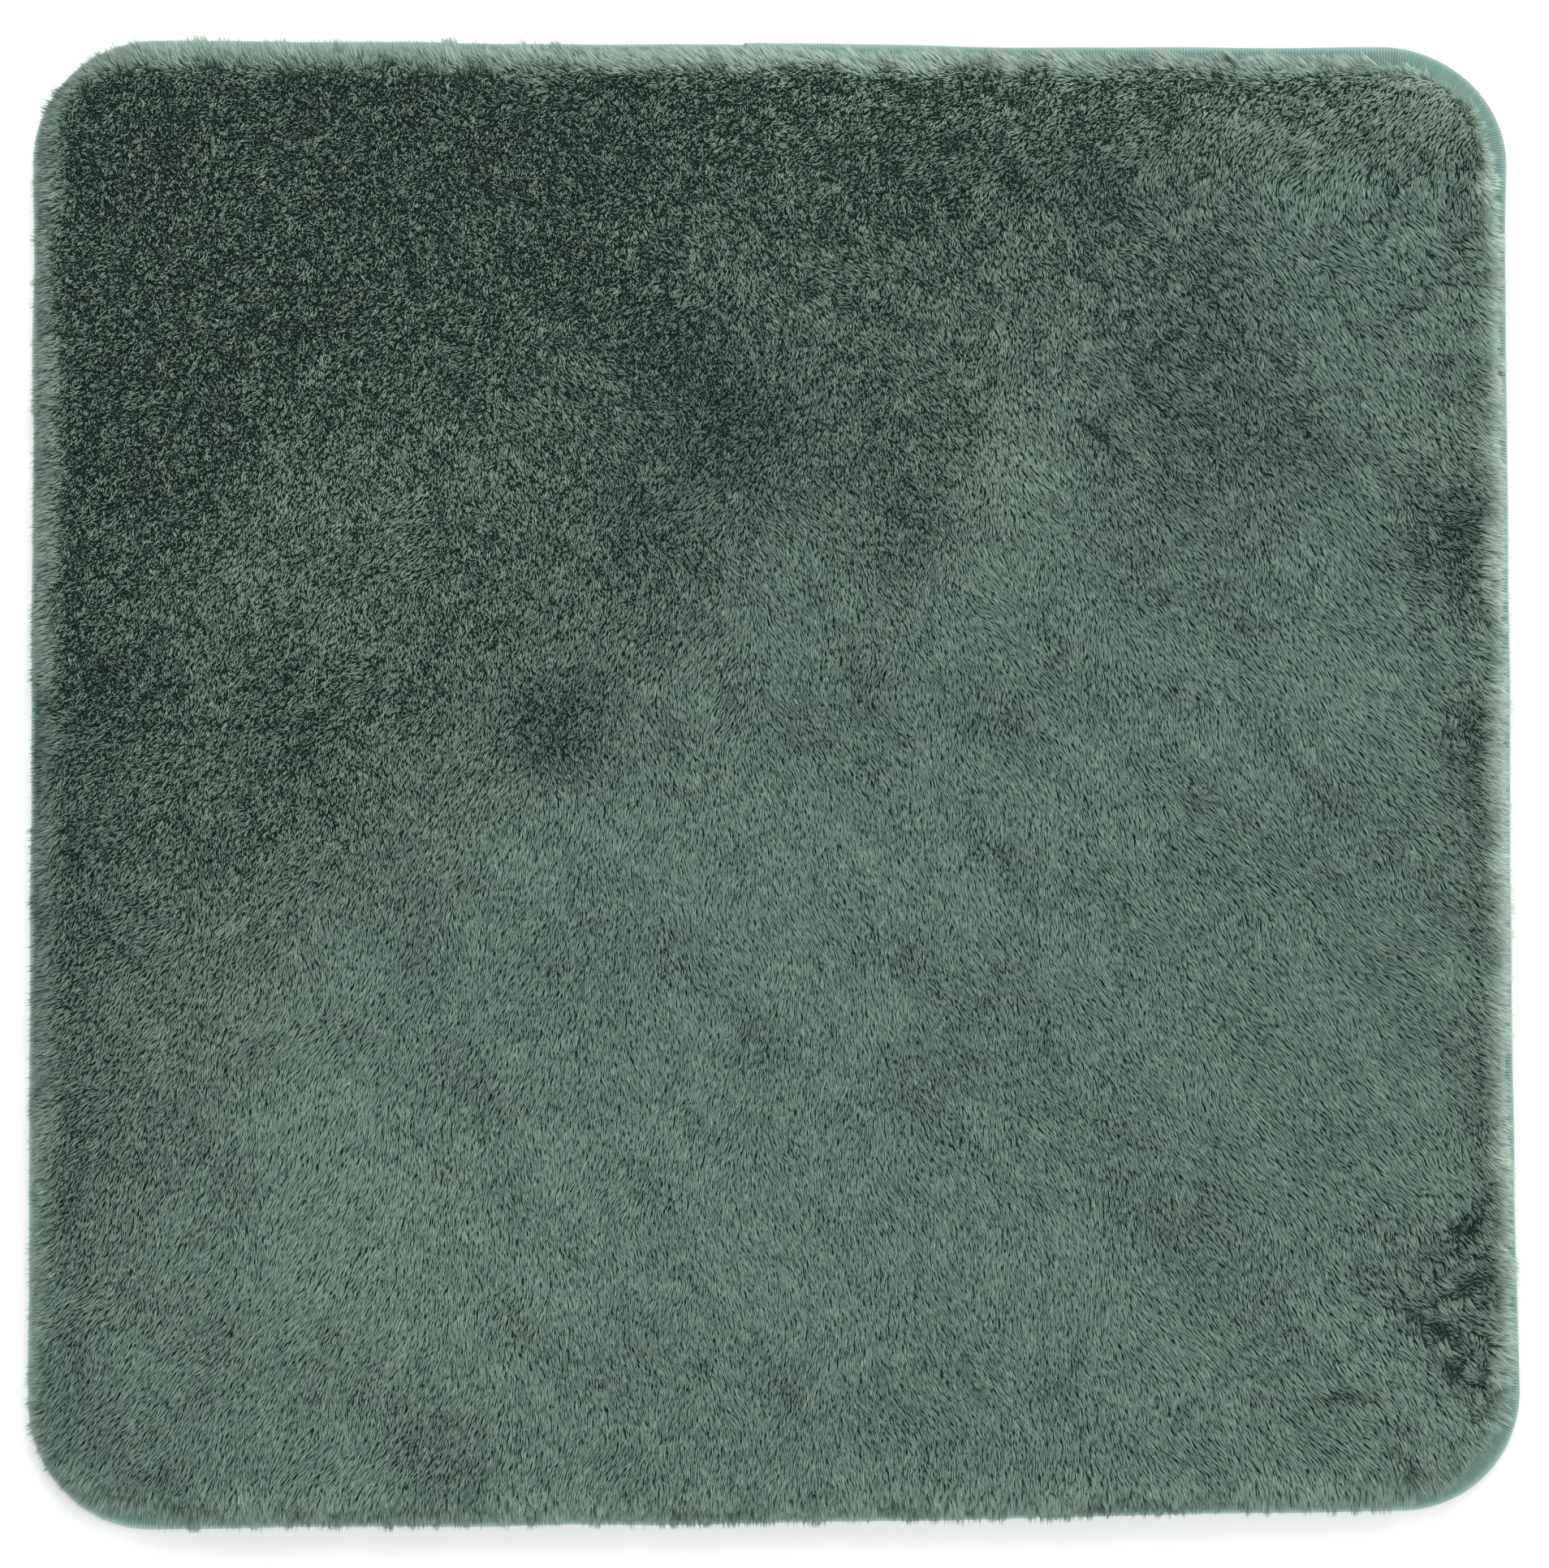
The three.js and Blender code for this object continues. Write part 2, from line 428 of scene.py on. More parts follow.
def add_wall(piece, thickness, side):
    """Gives a single surface its thickness, outwards for a side of 1 and inwards for -1."""
    wall = piece.modifiers.new("thickness", "SOLIDIFY")
    wall.thickness = thickness
    wall.offset = side


# %% [markdown]
# ## A layer of cloth
#
# A cloth layer is a flat sheet cut to the outline. A grid gives it an even mesh, but a grid is square: its
# corners have to be pushed in to make them round. Each corner square of the grid is mapped to a quarter
# disc, which keeps straight lines nearly straight and leaves no long thin faces, as a fan of triangles
# would.

# %% Grids cut to the outline
def rounded_grid(name, inset, cells):
    """A flat mesh of the outline's shape at an inset, with so many cells each way."""
    half = HALF - inset
    radius = CORNER - inset
    shape = bmesh.new()
    bmesh.ops.create_grid(shape, x_segments=cells, y_segments=cells, size=half)
    mesh = to_mesh(shape, name)
    points = points_of(mesh)
    over = np.clip((np.abs(points[:, :2]) - (half - radius)) / radius, 0, 1)
    pulled = over * np.sqrt(1 - over[:, ::-1] ** 2 / 2)
    points[:, :2] = np.sign(points[:, :2]) * (
        np.minimum(np.abs(points[:, :2]), half - radius) + radius * pulled
    )
    move_points(mesh, points)
    return mesh


def flat_area(side, radius):
    """The area of a square with round corners."""
    return side * side - (4 - math.pi) * radius * radius


# %% [markdown]
# ## Unevenness
#
# Cloth and fur are never quite even. Three small formulas give the mat its unevenness: noise, a step that
# is eased at both ends, and a soft round patch. A noise texture would do for colour, but hairs have to be
# placed by it too, so the noise is worked out here: random numbers on a lattice, smoothed in between.

# %% Noise, steps and patches
LATTICE = 64


def value_noise(x, y, cell, seed):
    """Smooth noise from -1 to 1 whose hills and hollows are about one cell across."""
    lattice = np.random.default_rng(seed).uniform(-1, 1, (LATTICE, LATTICE))
    across, up = x / cell + LATTICE / 2, y / cell + LATTICE / 2
    column, row = np.floor(across).astype(int), np.floor(up).astype(int)
    u, v = eased(across - column, 0, 1), eased(up - row, 0, 1)

    def corner(step_x, step_y):
        return lattice[(column + step_x) % LATTICE, (row + step_y) % LATTICE]

    low = corner(0, 0) * (1 - u) + corner(1, 0) * u
    high = corner(0, 1) * (1 - u) + corner(1, 1) * u
    return low * (1 - v) + high * v


def eased(value, start, end):
    """0 at the start, 1 at the end, and smooth between them."""
    share = np.clip((value - start) / (end - start), 0, 1)
    return share * share * (3 - 2 * share)


def patch(x, y, place_x, place_y, reach):
    """A soft round patch: 1 in its middle, and fading out over its reach."""
    return np.exp(-((x - place_x) ** 2 + (y - place_y) ** 2) / reach**2)


# %% [markdown]
# ## How the mat lies
#
# The pattern that the cloths are cut to is square, but a soft mat put down on a floor isn't quite. Its
# right side and its near edge are drawn in by a few millimetres, and its far right corner is pushed out.
# The cloths, the foam, the tape, the threads and the fur pass their points through the same formula, so
# the layers stay together. The grip dots are small and lie well inside, so they stay where the model has
# them.

# %% Out of square
DRAWN_RIGHT = -1.6 * MM
DRAWN_NEAR = 2.8 * MM
PUSHED_CORNER = 1.8 * MM
MIDDLE_OF_SIDE = 0.05


def settled(points):
    x, y = points[..., 0], points[..., 1]
    drawn_x = DRAWN_RIGHT * eased(x, MIDDLE_OF_SIDE, HALF) * np.exp(-(((y + 0.12) / 0.12) ** 2))
    drawn_y = DRAWN_NEAR * eased(-y, MIDDLE_OF_SIDE, HALF) * np.exp(-(((x - 0.26) / 0.15) ** 2))
    pushed = PUSHED_CORNER * patch(x, y, 0.29, 0.27, 0.07)
    return points + np.stack([drawn_x + pushed, drawn_y + 0.6 * pushed, 0 * x], -1)


print("drawn in, mm:", round(-DRAWN_RIGHT / MM, 1), round(DRAWN_NEAR / MM, 1))


# %% [markdown]
# ## The two cloths
#
# The backing is a plain woven cloth that lies flat. The ground cloth is knitted, lies over the foam and
# comes down its sloped edge to the backing, so that the mat ends in a thin flange which the tape can hold.
# Both are made as a single surface and get their real thickness from a Solidify modifier, as cloth does
# from its yarn.

# %% Heights of the ground cloth
SLOPE_START = FOAM_FOOT - 0.6 * MM
SLOPE_END = FOAM_FOOT + FOAM_THICK + 0.4 * MM
PLATEAU = ground_high.z
RIM = ground_low.z + GROUND_THICK


def cloth_top(inset):
    """The height of the ground cloth's upper face."""
    share = np.clip((inset - SLOPE_START) / (SLOPE_END - SLOPE_START), 0, 1)
    soft = eased(share, 0, 1)
    return RIM + (PLATEAU - RIM) * (0.6 * share + 0.4 * soft)


# %% Cloth finishes
def weave_finish(name, warm, cool, pitch, depth, roughness):
    """A plain weave: two sets of yarns that cross and pass over each other by turns."""
    cloth = Finish(name, Roughness=roughness, Sheen_Weight=0.25, Sheen_Roughness=0.5)
    where = cloth.where()
    across, along = cloth.axes(where)
    warp = across.maths("SINE", across * (math.pi / pitch))
    weft = along.maths("SINE", along * (math.pi / pitch))
    over = (warp * weft) * 0.5 + 0.5
    mottle = cloth.noise(where, 180.0, 4.0)
    cloth.feed("Base Color", cloth.blend(mottle * 0.5 + over * 0.5, warm, cool))
    cloth.bump(over, depth)
    return cloth


GROUND_FINISH = weave_finish(
    "knitted_ground",
    colour(38, 54, 47),
    colour(62, 84, 74),
    pitch=1.6 * MM,
    depth=0.3 * MM,
    roughness=0.9,
)
BACKING_FINISH = weave_finish(
    "woven_backing",
    colour(138, 144, 140),
    colour(186, 190, 184),
    pitch=1.1 * MM,
    depth=0.2 * MM,
    roughness=0.85,
)
print("finishes:", GROUND_FINISH.material.name, BACKING_FINISH.material.name)


# %% Making the cloths
CLOTH_CELLS = 64
RIPPLE = 0.25 * MM
# The ground cloth is made a little thinner than its room, so that no ripple comes through the tape.
GROUND_WALL = GROUND_THICK - 0.05 * MM


def make_cloth(name, node, finish, surface, thickness):
    mesh = rounded_grid(name, CLOTH_INSET, CLOTH_CELLS)
    points = points_of(mesh)
    points[:, 2] = surface(points)
    move_points(mesh, settled(points))
    piece = make_piece(name, mesh, finish, [node])
    add_wall(piece, thickness, 1.0)


def ground_surface(points):
    inset = inset_of(points[:, 0], points[:, 1])[0]
    ripple = RIPPLE * (value_noise(points[:, 0], points[:, 1], 22 * MM, 3) - 1) * eased(inset, 0.02, 0.05)
    return cloth_top(inset) - GROUND_THICK + ripple


def backing_surface(points):
    return np.full(len(points), backing_low.z)


make_cloth("backing", "backing_cloth", BACKING_FINISH, backing_surface, BACKING_THICK)
make_cloth("ground", "ground_cloth", GROUND_FINISH, ground_surface, GROUND_WALL)

# %% [markdown]
# ## The foam core
#
# The core is one slab of cut foam with a bevelled edge. It starts as the same grid, which is extruded
# upwards; the upper face then shrinks to the shoulder's inset, and the wall between them becomes the
# bevel.

# %% Foam
FOAM_CELLS = 60


def foam_finish():
    foam = Finish("cut_foam", Roughness=0.95)
    where = foam.where()
    pores = foam.node("TexVoronoi", {}, {"Vector": where, "Scale": 900.0})
    tint = foam.noise(where, 40.0)
    foam.feed("Base Color", foam.blend(tint, colour(196, 196, 188), colour(214, 213, 204)))
    foam.bump(pores, 0.3 * MM)
    return foam


def make_foam():
    shape = bmesh.new()
    shape.from_mesh(rounded_grid("foam_foot", FOAM_FOOT, FOAM_CELLS))
    bmesh.ops.translate(shape, verts=shape.verts, vec=(0, 0, foam_low.z))
    foot = list(shape.faces)
    raised = bmesh.ops.extrude_face_region(shape, geom=foot, use_keep_orig=True)
    upper = [item for item in raised["geom"] if isinstance(item, bmesh.types.BMVert)]
    bmesh.ops.translate(shape, verts=upper, vec=(0, 0, FOAM_THICK))
    shrink = (HALF - FOAM_FOOT - FOAM_THICK) / (HALF - FOAM_FOOT)
    bmesh.ops.scale(shape, verts=upper, vec=(shrink, shrink, 1))
    bmesh.ops.reverse_faces(shape, faces=foot)
    mesh = to_mesh(shape, "foam")
    move_points(mesh, settled(points_of(mesh)))
    piece = make_piece("foam", mesh, foam_finish(), ["foam_core"], smooth=False)


make_foam()
print("foam, mm: foot", round(FOAM_FOOT / MM, 1), "in from the edge, thickness", round(FOAM_THICK / MM, 1))

# %% [markdown]
# ## Grip dots
#
# The dots are drops of soft rubber that were moulded onto the backing in rows. A dot is a body of
# revolution: a half profile is spun round its axis, with a rounded edge that a mould would leave. There
# are 49 alike, so the profile has only a few points, and each dot takes its place and its size from its
# own node.

# %% Moulding the dots
DOT_SIDES = 28
# Half a dot's profile, from the middle of its dished foot to the middle of its back, as shares of its radius
# and its height.
DOT_PROFILE = (
    (0.0, 0.12),
    (0.55, 0.12),
    (0.60, 0.0),
    (0.74, 0.0),
    (0.86, 0.10),
    (0.95, 0.34),
    (1.0, 0.62),
    (1.0, 0.86),
    (0.97, 1.0),
    (0.0, 1.0),
)


def rubber_finish():
    rubber = Finish("grip_rubber", Roughness=0.62, Specular_IOR_Level=0.4)
    where = rubber.where()
    grain = rubber.noise(where, 900.0, 3.0)
    cloud = rubber.noise(where, 60.0)
    rubber.feed("Base Color", rubber.blend(cloud, colour(196, 199, 192), colour(222, 223, 216)))
    rubber.feed("Roughness", grain * 0.2 + 0.52)
    rubber.bump(grain, 0.12 * MM)
    return rubber


def make_dot(node, finish):
    low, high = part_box(node)
    middle = (low + high) / 2
    radius = (high.x - low.x) / 2
    height = high.z - low.z
    shape = bmesh.new()
    points = [shape.verts.new((radius * reach, 0, height * rise)) for reach, rise in DOT_PROFILE]
    lines = [shape.edges.new(pair) for pair in zip(points, points[1:])]
    bmesh.ops.spin(shape, geom=points + lines, cent=(0, 0, 0), axis=(0, 0, 1), dvec=(0, 0, 0),
                   angle=2 * math.pi, steps=DOT_SIDES, use_merge=True, use_duplicate=False)
    bmesh.ops.remove_doubles(shape, verts=shape.verts, dist=1e-6)
    bmesh.ops.recalc_face_normals(shape, faces=shape.faces)
    bmesh.ops.translate(shape, verts=shape.verts, vec=(middle.x, middle.y, low.z))
    return make_piece(node + "_moulded", to_mesh(shape, node), finish, [node])


RUBBER = rubber_finish()
dots = [make_dot(name, RUBBER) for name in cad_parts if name.startswith("grip_dot")]
print("grip dots:", len(dots))

# %% [markdown]
# ## The binding tape
#
# The tape is a ribbed band. It comes in from below, turns round the edge of the two cloths and goes back
# in on top. It is a long grid, one way along the mat's edge and the other way across the tape, and two
# rows of points for each rib, one on its crest and one in its groove, give it the real ribs. The end laps
# over the start for a finger's width in the middle of the far edge, so the last stretch rides one tape
# higher.

# %% The tape's section
RIB = 1.2 * MM
RIB_DEPTH = 0.16 * MM
LAP = 13 * MM
LAP_BEYOND = 12 * MM
LAP_RISE = 0.85 * MM
LAP_FALL = 70 * MM
UNDER_SHARE = 0.35
TAPE_WALL = TAPE_THICK - 0.1 * MM
# Shares of the tape's rows: the lower leg, the fold, and the upper leg.
LOWER_LEG = 0.2
TURNED = 0.5
UPPER_LEG = 0.3


def lap_rise(run):
    """How much higher than its seat the tape lies: one tape's thickness where its end covers its start, and
    a gentle fall before that."""
    return LAP_RISE * eased(run, PERIMETER - LAP - LAP_FALL, PERIMETER - LAP)


def fold_turn(share):
    """How far round the fold a row lies, from 0 below to half a turn on top."""
    return np.clip((share - LOWER_LEG) / TURNED, 0, 1) * math.pi


def up_the_leg(share):
    """How far along the upper leg a row lies, from 0 at the fold to 1 at the tape's border."""
    return np.clip((share - LOWER_LEG - TURNED) / UPPER_LEG, 0, 1)


def tape_section(share, rise):
    """Inset and height of the tape's outer face, from the end of the lower leg (0) over the fold to the end
    of the upper leg (1), for a tape that lies so much further out than its seat. The floor presses the lower
    leg, so that takes only part of the rise."""
    leg = TAPE_LEG - FOLD
    turn = fold_turn(share)
    reach = FOLD + rise * np.where(rise > 0, UNDER_SHARE + (1 - UNDER_SHARE) * (1 - np.cos(turn)) / 2, 1)
    inset = FOLD - reach * np.sin(turn) + leg * (1 - np.clip(share / LOWER_LEG, 0, 1) + up_the_leg(share))
    height = FOLD_HEIGHT - reach * np.cos(turn)
    return inset, height


# %% Weaving the tape
TAPE_RUN = PERIMETER + LAP + LAP_BEYOND
TAPE_STEPS = 2 * round(TAPE_RUN / RIB)
TAPE_ROWS = 10
YARNS = 8
# A near-black colour mixed into each rib's groove: painted shade in the grooves.
GROOVE_PAINTED_SHADE = (0.02, 0.04, 0.035, 1.0)
# Across the tape's section the fold's crown is painted lighter: a painted highlight on the rounded fold.
FOLD_PAINTED_HIGHLIGHT = ((0.25, (0.0, 0.0, 0.0)), (0.42, (1.0, 1.0, 1.0)), (0.56, (1.0, 1.0, 1.0)), (0.72, (0.0, 0.0, 0.0)))


def tape_finish():
    """Crests and grooves come from the tape's own map: a rib's rise runs across it, and up it run bands for
    yarns of different shades, each from the lower leg over the fold to the upper leg. The grooves take
    painted shade, and the fold's crown takes a painted highlight where the rounded fold meets the light."""
    tape = Finish("ribbed_tape", Roughness=0.7, Sheen_Weight=0.3, Sheen_Roughness=0.4)
    crest, across, which = tape.banded_map(YARNS)
    yarn = tape.blend(which, colour(112, 147, 138), colour(121, 156, 147))
    # The fold's crown takes the painted highlight's pale colour.
    yarn = tape.blend(tape.ramp(across, *FOLD_PAINTED_HIGHLIGHT), yarn, colour(154, 184, 175))
    # In the grooves the yarn is darkened by painted shade.
    tape.feed("Base Color", tape.blend(crest, tape.blend(0.45, GROOVE_PAINTED_SHADE, yarn), yarn))
    return tape


def tape_slack(run):
    """How far the tape bulges out at its fold: unevenly, but tight at its start and even at its end."""
    slack = 0.4 * MM * value_noise(run, 0 * run, 37 * MM, 8) - 0.1 * MM
    left = TAPE_RUN - LAP - run
    return np.where(run < LAP_BEYOND + 6 * MM, -0.1 * MM, np.where(left < 40 * MM, 0.0, slack))


def map_tape(mesh, step, crest, share):
    """Each face takes its yarn from its first point, and its places, just inside the band, from all four."""
    corners = corners_of(mesh)
    first = corners.reshape(-1, 4).min(1).repeat(4)
    yarn = np.random.default_rng(11).integers(0, YARNS, TAPE_STEPS + 1)[step[first] // 2 * 2]
    across = 0.02 + 0.96 * crest[corners]
    up = (yarn + 0.02 + 0.96 * share[corners]) / YARNS
    set_map(mesh, np.stack([across, up], -1))


def make_tape():
    shape = bmesh.new()
    bmesh.ops.create_grid(shape, x_segments=TAPE_STEPS, y_segments=TAPE_ROWS, size=0.5)
    mesh = to_mesh(shape, "tape")
    grid = points_of(mesh)
    step = np.round((grid[:, 0] + 0.5) * TAPE_STEPS).astype(int)
    share = grid[:, 1] + 0.5
    run = step * TAPE_RUN / TAPE_STEPS - LAP
    # The last two steps are grooves: the lap's end sits lower there and takes the grooves' painted shade, a
    # dark line that stands for the shadow under the end.
    crest = (step % 2) * (step < TAPE_STEPS - 2)
    inset, height = tape_section(share, lap_rise(run) + RIB_DEPTH * (crest - 1))
    inset -= tape_slack(run) * np.sin(fold_turn(share))
    inset += 0.5 * MM * value_noise(run, 0 * run, 24 * MM, 9) * up_the_leg(share)
    edge, out = walk(run)
    points = np.stack([edge[:, 0] - out[:, 0] * inset, edge[:, 1] - out[:, 1] * inset, height], -1)
    move_points(mesh, settled(points))
    map_tape(mesh, step, crest, share)

    piece = make_piece("tape", mesh, tape_finish(), ["binding_tape"])
    add_wall(piece, TAPE_WALL, -1.0)


make_tape()

# %% [markdown]
# ## The seam
#
# One row of machine stitches holds the tape's two legs and the cloths between them. Each stitch is a short
# length of thread that dives at both ends. One stitch is a narrow tube, and the row is that stitch turned
# and moved to each of its places along the outline, on top for the needle thread and below for the bobbin
# thread.

# %% Stitches
STITCH = 3.2 * MM
STITCH_SIDES = 5
STITCH_REACH = 0.46 * STITCH


def stitch_shape(dip):
    """One stitch along Y through the origin, which rises towards +Z and dips at its ends."""
    shape = bmesh.new()
    ring = bmesh.ops.create_circle(shape, segments=STITCH_SIDES, radius=THREAD / 2)["verts"]
    bmesh.ops.rotate(shape, verts=ring, matrix=Matrix.Rotation(math.pi / 2, 3, "X"))
    bmesh.ops.translate(shape, verts=ring, vec=(0, -STITCH_REACH, -dip))
    edges = list(shape.edges)
    for stop, height in ((-0.55, -0.1), (0.55, -0.1), (1.0, -1.0)):
        grown = bmesh.ops.extrude_edge_only(shape, edges=edges)["geom"]
        ring = [item for item in grown if isinstance(item, bmesh.types.BMVert)]
        edges = [item for item in grown if isinstance(item, bmesh.types.BMEdge) and item.is_boundary]
        middle = sum((point.co for point in ring), Vector()) / len(ring)
        bmesh.ops.translate(shape, verts=ring, vec=Vector((0, STITCH_REACH * stop, dip * height)) - middle)
    bmesh.ops.holes_fill(shape, edges=[edge for edge in shape.edges if edge.is_boundary])
    bmesh.ops.recalc_face_normals(shape, faces=shape.faces)
    return to_mesh(shape, "stitch")


print("stitch, mm: length", round(STITCH / MM, 1), " thread", round(THREAD / MM, 2))

# %% [markdown]
# ## Many copies of a small shape
#
# A seam has hundreds of stitches and a pile has hundreds of thousands of hairs. They would take for ever
# one by one, but copies can be made in bulk: duplicating everything made so far doubles it, so a few steps
# are enough. The copies keep their order, which lets one array formula then put every point of every copy
# in its place.

# %% Copying in bulk
def many(template, count, name):
    """A mesh of so many copies of a small mesh, one after the other."""
    shape = bmesh.new()
    shape.from_mesh(template)
    points_each, faces_each = len(shape.verts), len(shape.faces)
    made = 1
    while made < count:
        more = min(made, count - made)
        some = list(shape.verts)[: more * points_each] + list(shape.faces)[: more * faces_each]
        bmesh.ops.duplicate(shape, geom=some)
        made += more
    return to_mesh(shape, name)


# %% Sewing the rows
TABLE_STEPS = 40_000


def thread_finish():
    thread = Finish("sewing_thread", Roughness=0.5, Sheen_Weight=0.3)
    ply = thread.node("TexWave", {"bands_direction": "DIAGONAL"}, {"Vector": thread.where(), "Scale": 900.0})
    thread.feed("Base Color", thread.blend(ply, colour(98, 142, 132), colour(150, 190, 180)))
    thread.bump(ply, 0.08 * MM)
    return thread


def even_runs(count):
    """Runs of the outline whose places on the seam are evenly spaced. Even steps of the outline itself would
    bunch the stitches in the corners, so a fine table turns lengths of seam into runs."""
    fine = np.linspace(0, PERIMETER, TABLE_STEPS + 1)
    edge, out = walk(fine)
    path = edge - out * SEAM_INSET
    length = np.concatenate([[0], np.cumsum(np.hypot(*np.diff(path, axis=0).T))])
    return np.interp((np.arange(count) + 0.5) * length[-1] / count, length, fine)


def sew(name, node, side, dip, finish):
    """A row of stitches at the seam's inset, on the side that the sign gives."""
    template = stitch_shape(dip)
    one = points_of(template)
    seam = 4 * STRAIGHT + 2 * math.pi * (CORNER - SEAM_INSET)
    count = round(seam / STITCH)
    low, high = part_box(node)
    middle = (low.z + high.z) / 2
    mesh = many(template, count, name)
    run = even_runs(count)
    edge, out = walk(run)
    home = edge - out * SEAM_INSET
    tilt = np.random.default_rng(5).normal(0, 0.05, count)
    ahead = np.stack([-out[:, 1], out[:, 0]], -1) + out * tilt[:, None]
    side_on = np.stack([-ahead[:, 1], ahead[:, 0]], -1) * side
    shape = home[:, None, :] + one[None, :, 1, None] * ahead[:, None]
    shape = shape + one[None, :, 0, None] * side_on[:, None]
    lift = np.where(run < LAP_BEYOND, LAP_RISE, lap_rise(run)) * (1 if side > 0 else UNDER_SHARE)
    height = middle + side * (one[None, :, 2] + lift[:, None])
    move_points(mesh, settled(np.concatenate([shape, height[..., None]], -1).reshape(-1, 3)))
    make_piece(name, mesh, finish, [node])
    print(name, "stitches:", count)


THREAD_FINISH = thread_finish()
sew("needle_stitches", "needle_thread", 1, 0.35 * MM, THREAD_FINISH)
sew("bobbin_stitches", "bobbin_thread", -1, 0.30 * MM, THREAD_FINISH)

# %% [markdown]
# ## The pile's body
#
# A plush pile is so dense that one never sees down to the cloth. Below their free ends the hairs stand
# packed in a body that has a crown and a rounded rim, and only the upper third of each hair moves on its
# own. So the body is a closed-looking surface, and the free ends grow from it. The body is a flat grid
# that is laid over the mat like a cloth over a table: near the border, a place on the flat grid comes down
# the rounded rim.

# %% Seats on the pile's body
FREE_END = 5.6 * MM
BODY_TOP = pile_high.z - FREE_END
BODY_FOOT = TAPE_TOP + 0.4 * MM
BODY_EDGE = SEAM_INSET + 1.0 * MM
BODY_ROUND = 7.5 * MM
BODY_RISE = BODY_TOP - BODY_FOOT
BODY_CELLS = 150
# How far the pile swells out over the tape along the left-hand and the near edge.
BULGE = 3.2 * MM
# Places where the pile stands back from the tape: x, y, reach in metres, depth in millimetres.
BARE_CORNERS = ((0.29, 0.29, 0.060, 4.6), (0.29, -0.29, 0.045, 4.4), (-0.262, -0.293, 0.024, 2.8))
# Partings in the coat: x, y, the direction they run in, and how deep they are.
PARTING_DEPTH = 3.2 * MM
PARTINGS = (
    (0.278, -0.186, 0.9, 1.0),
    (0.274, -0.209, 0.3, 0.6),
    (0.294, -0.214, -1.1, 0.9),
    (0.262, -0.226, -0.5, 0.9),
    (0.250, -0.217, -0.9, 0.5),
    (0.286, -0.237, 2.2, 1.0),
    (0.267, -0.241, -0.9, 0.7),
    (0.222, -0.253, 0.2, 0.5),
    (0.251, -0.289, 1.5, 1.0),
    (0.010, -0.291, 1.3, 0.7),
    (0.128, 0.137, -0.7, 0.5),
)


def bareness(x, y):
    """How far back the pile stands where it was sewn short, in metres; less than 0 where it swells out."""
    back = 0.4 * MM * value_noise(x, y, 0.045, 53)
    for place_x, place_y, reach, depth in BARE_CORNERS:
        uneven = 1 + 0.45 * value_noise(x, y, 0.011, 54)
        back = back + depth * MM * patch(x, y, place_x, place_y, reach) * uneven
    bulge = np.maximum(eased(-x, 0.24, 0.29), eased(-y, 0.24, 0.29)) * (1 - eased(back, 0.5 * MM, 2.5 * MM))
    return back - BULGE * bulge


def parting(x, y, place_x, place_y, line):
    """Places measured across and along a parting."""
    far_x, far_y = x - place_x, y - place_y
    return far_y * math.cos(line) - far_x * math.sin(line), far_x * math.cos(line) + far_y * math.sin(line)


def creases(x, y):
    """How deep the body is parted, in metres."""
    deep = 0 * x
    for place_x, place_y, line, depth in PARTINGS:
        beside, beyond = parting(x, y, place_x, place_y, line)
        deep = deep + PARTING_DEPTH * depth * np.exp(-((beside / 0.0018) ** 2) - (beyond / 0.007) ** 2)
    return deep


def unit(v):
    """Directions of length one."""
    return v / np.maximum(np.linalg.norm(v, axis=-1, keepdims=True), 1e-9)


def seat(x, y):
    """Where a flat place comes to lie on the pile's body, and the direction straight out of it there."""
    inset, out_x, out_y = inset_of(x, y)
    rim = BODY_EDGE + BODY_ROUND
    turn = np.clip(inset / rim, 0, 1) * math.pi / 2
    moved = np.where(inset < rim, inset - BODY_EDGE - BODY_ROUND * (1 - np.cos(turn)), 0)
    moved = moved - bareness(x, y) * (1 - eased(inset, 0.0, 0.05))
    swell = 0.9 * MM * value_noise(x, y, 0.055, 51) + 0.6 * MM * value_noise(x, y, 0.017, 52)
    swell = swell - creases(x, y)
    height = BODY_FOOT + BODY_RISE * np.sin(turn) + swell * np.sin(turn) ** 2
    place = np.stack([x + out_x * moved, y + out_y * moved, height], -1)
    flat = np.cos(turn) / BODY_ROUND
    normal = np.stack([out_x * flat, out_y * flat, np.sin(turn) / BODY_RISE], -1)
    return place, unit(normal)


# %% [markdown]
# ## The nap
#
# Over the whole mat goes the nap, the way the coat was last stroked. Where it stands up, one looks down
# between the tips into dark gaps. Where it is laid, one sees the sides of the hairs, and the coat looks
# paler and smoother. Towards the far and the right-hand edge it stands up again, because there the rim
# pulls the other way. Patches of all kinds are lists of places, which are easier to change than a painted
# picture would be.

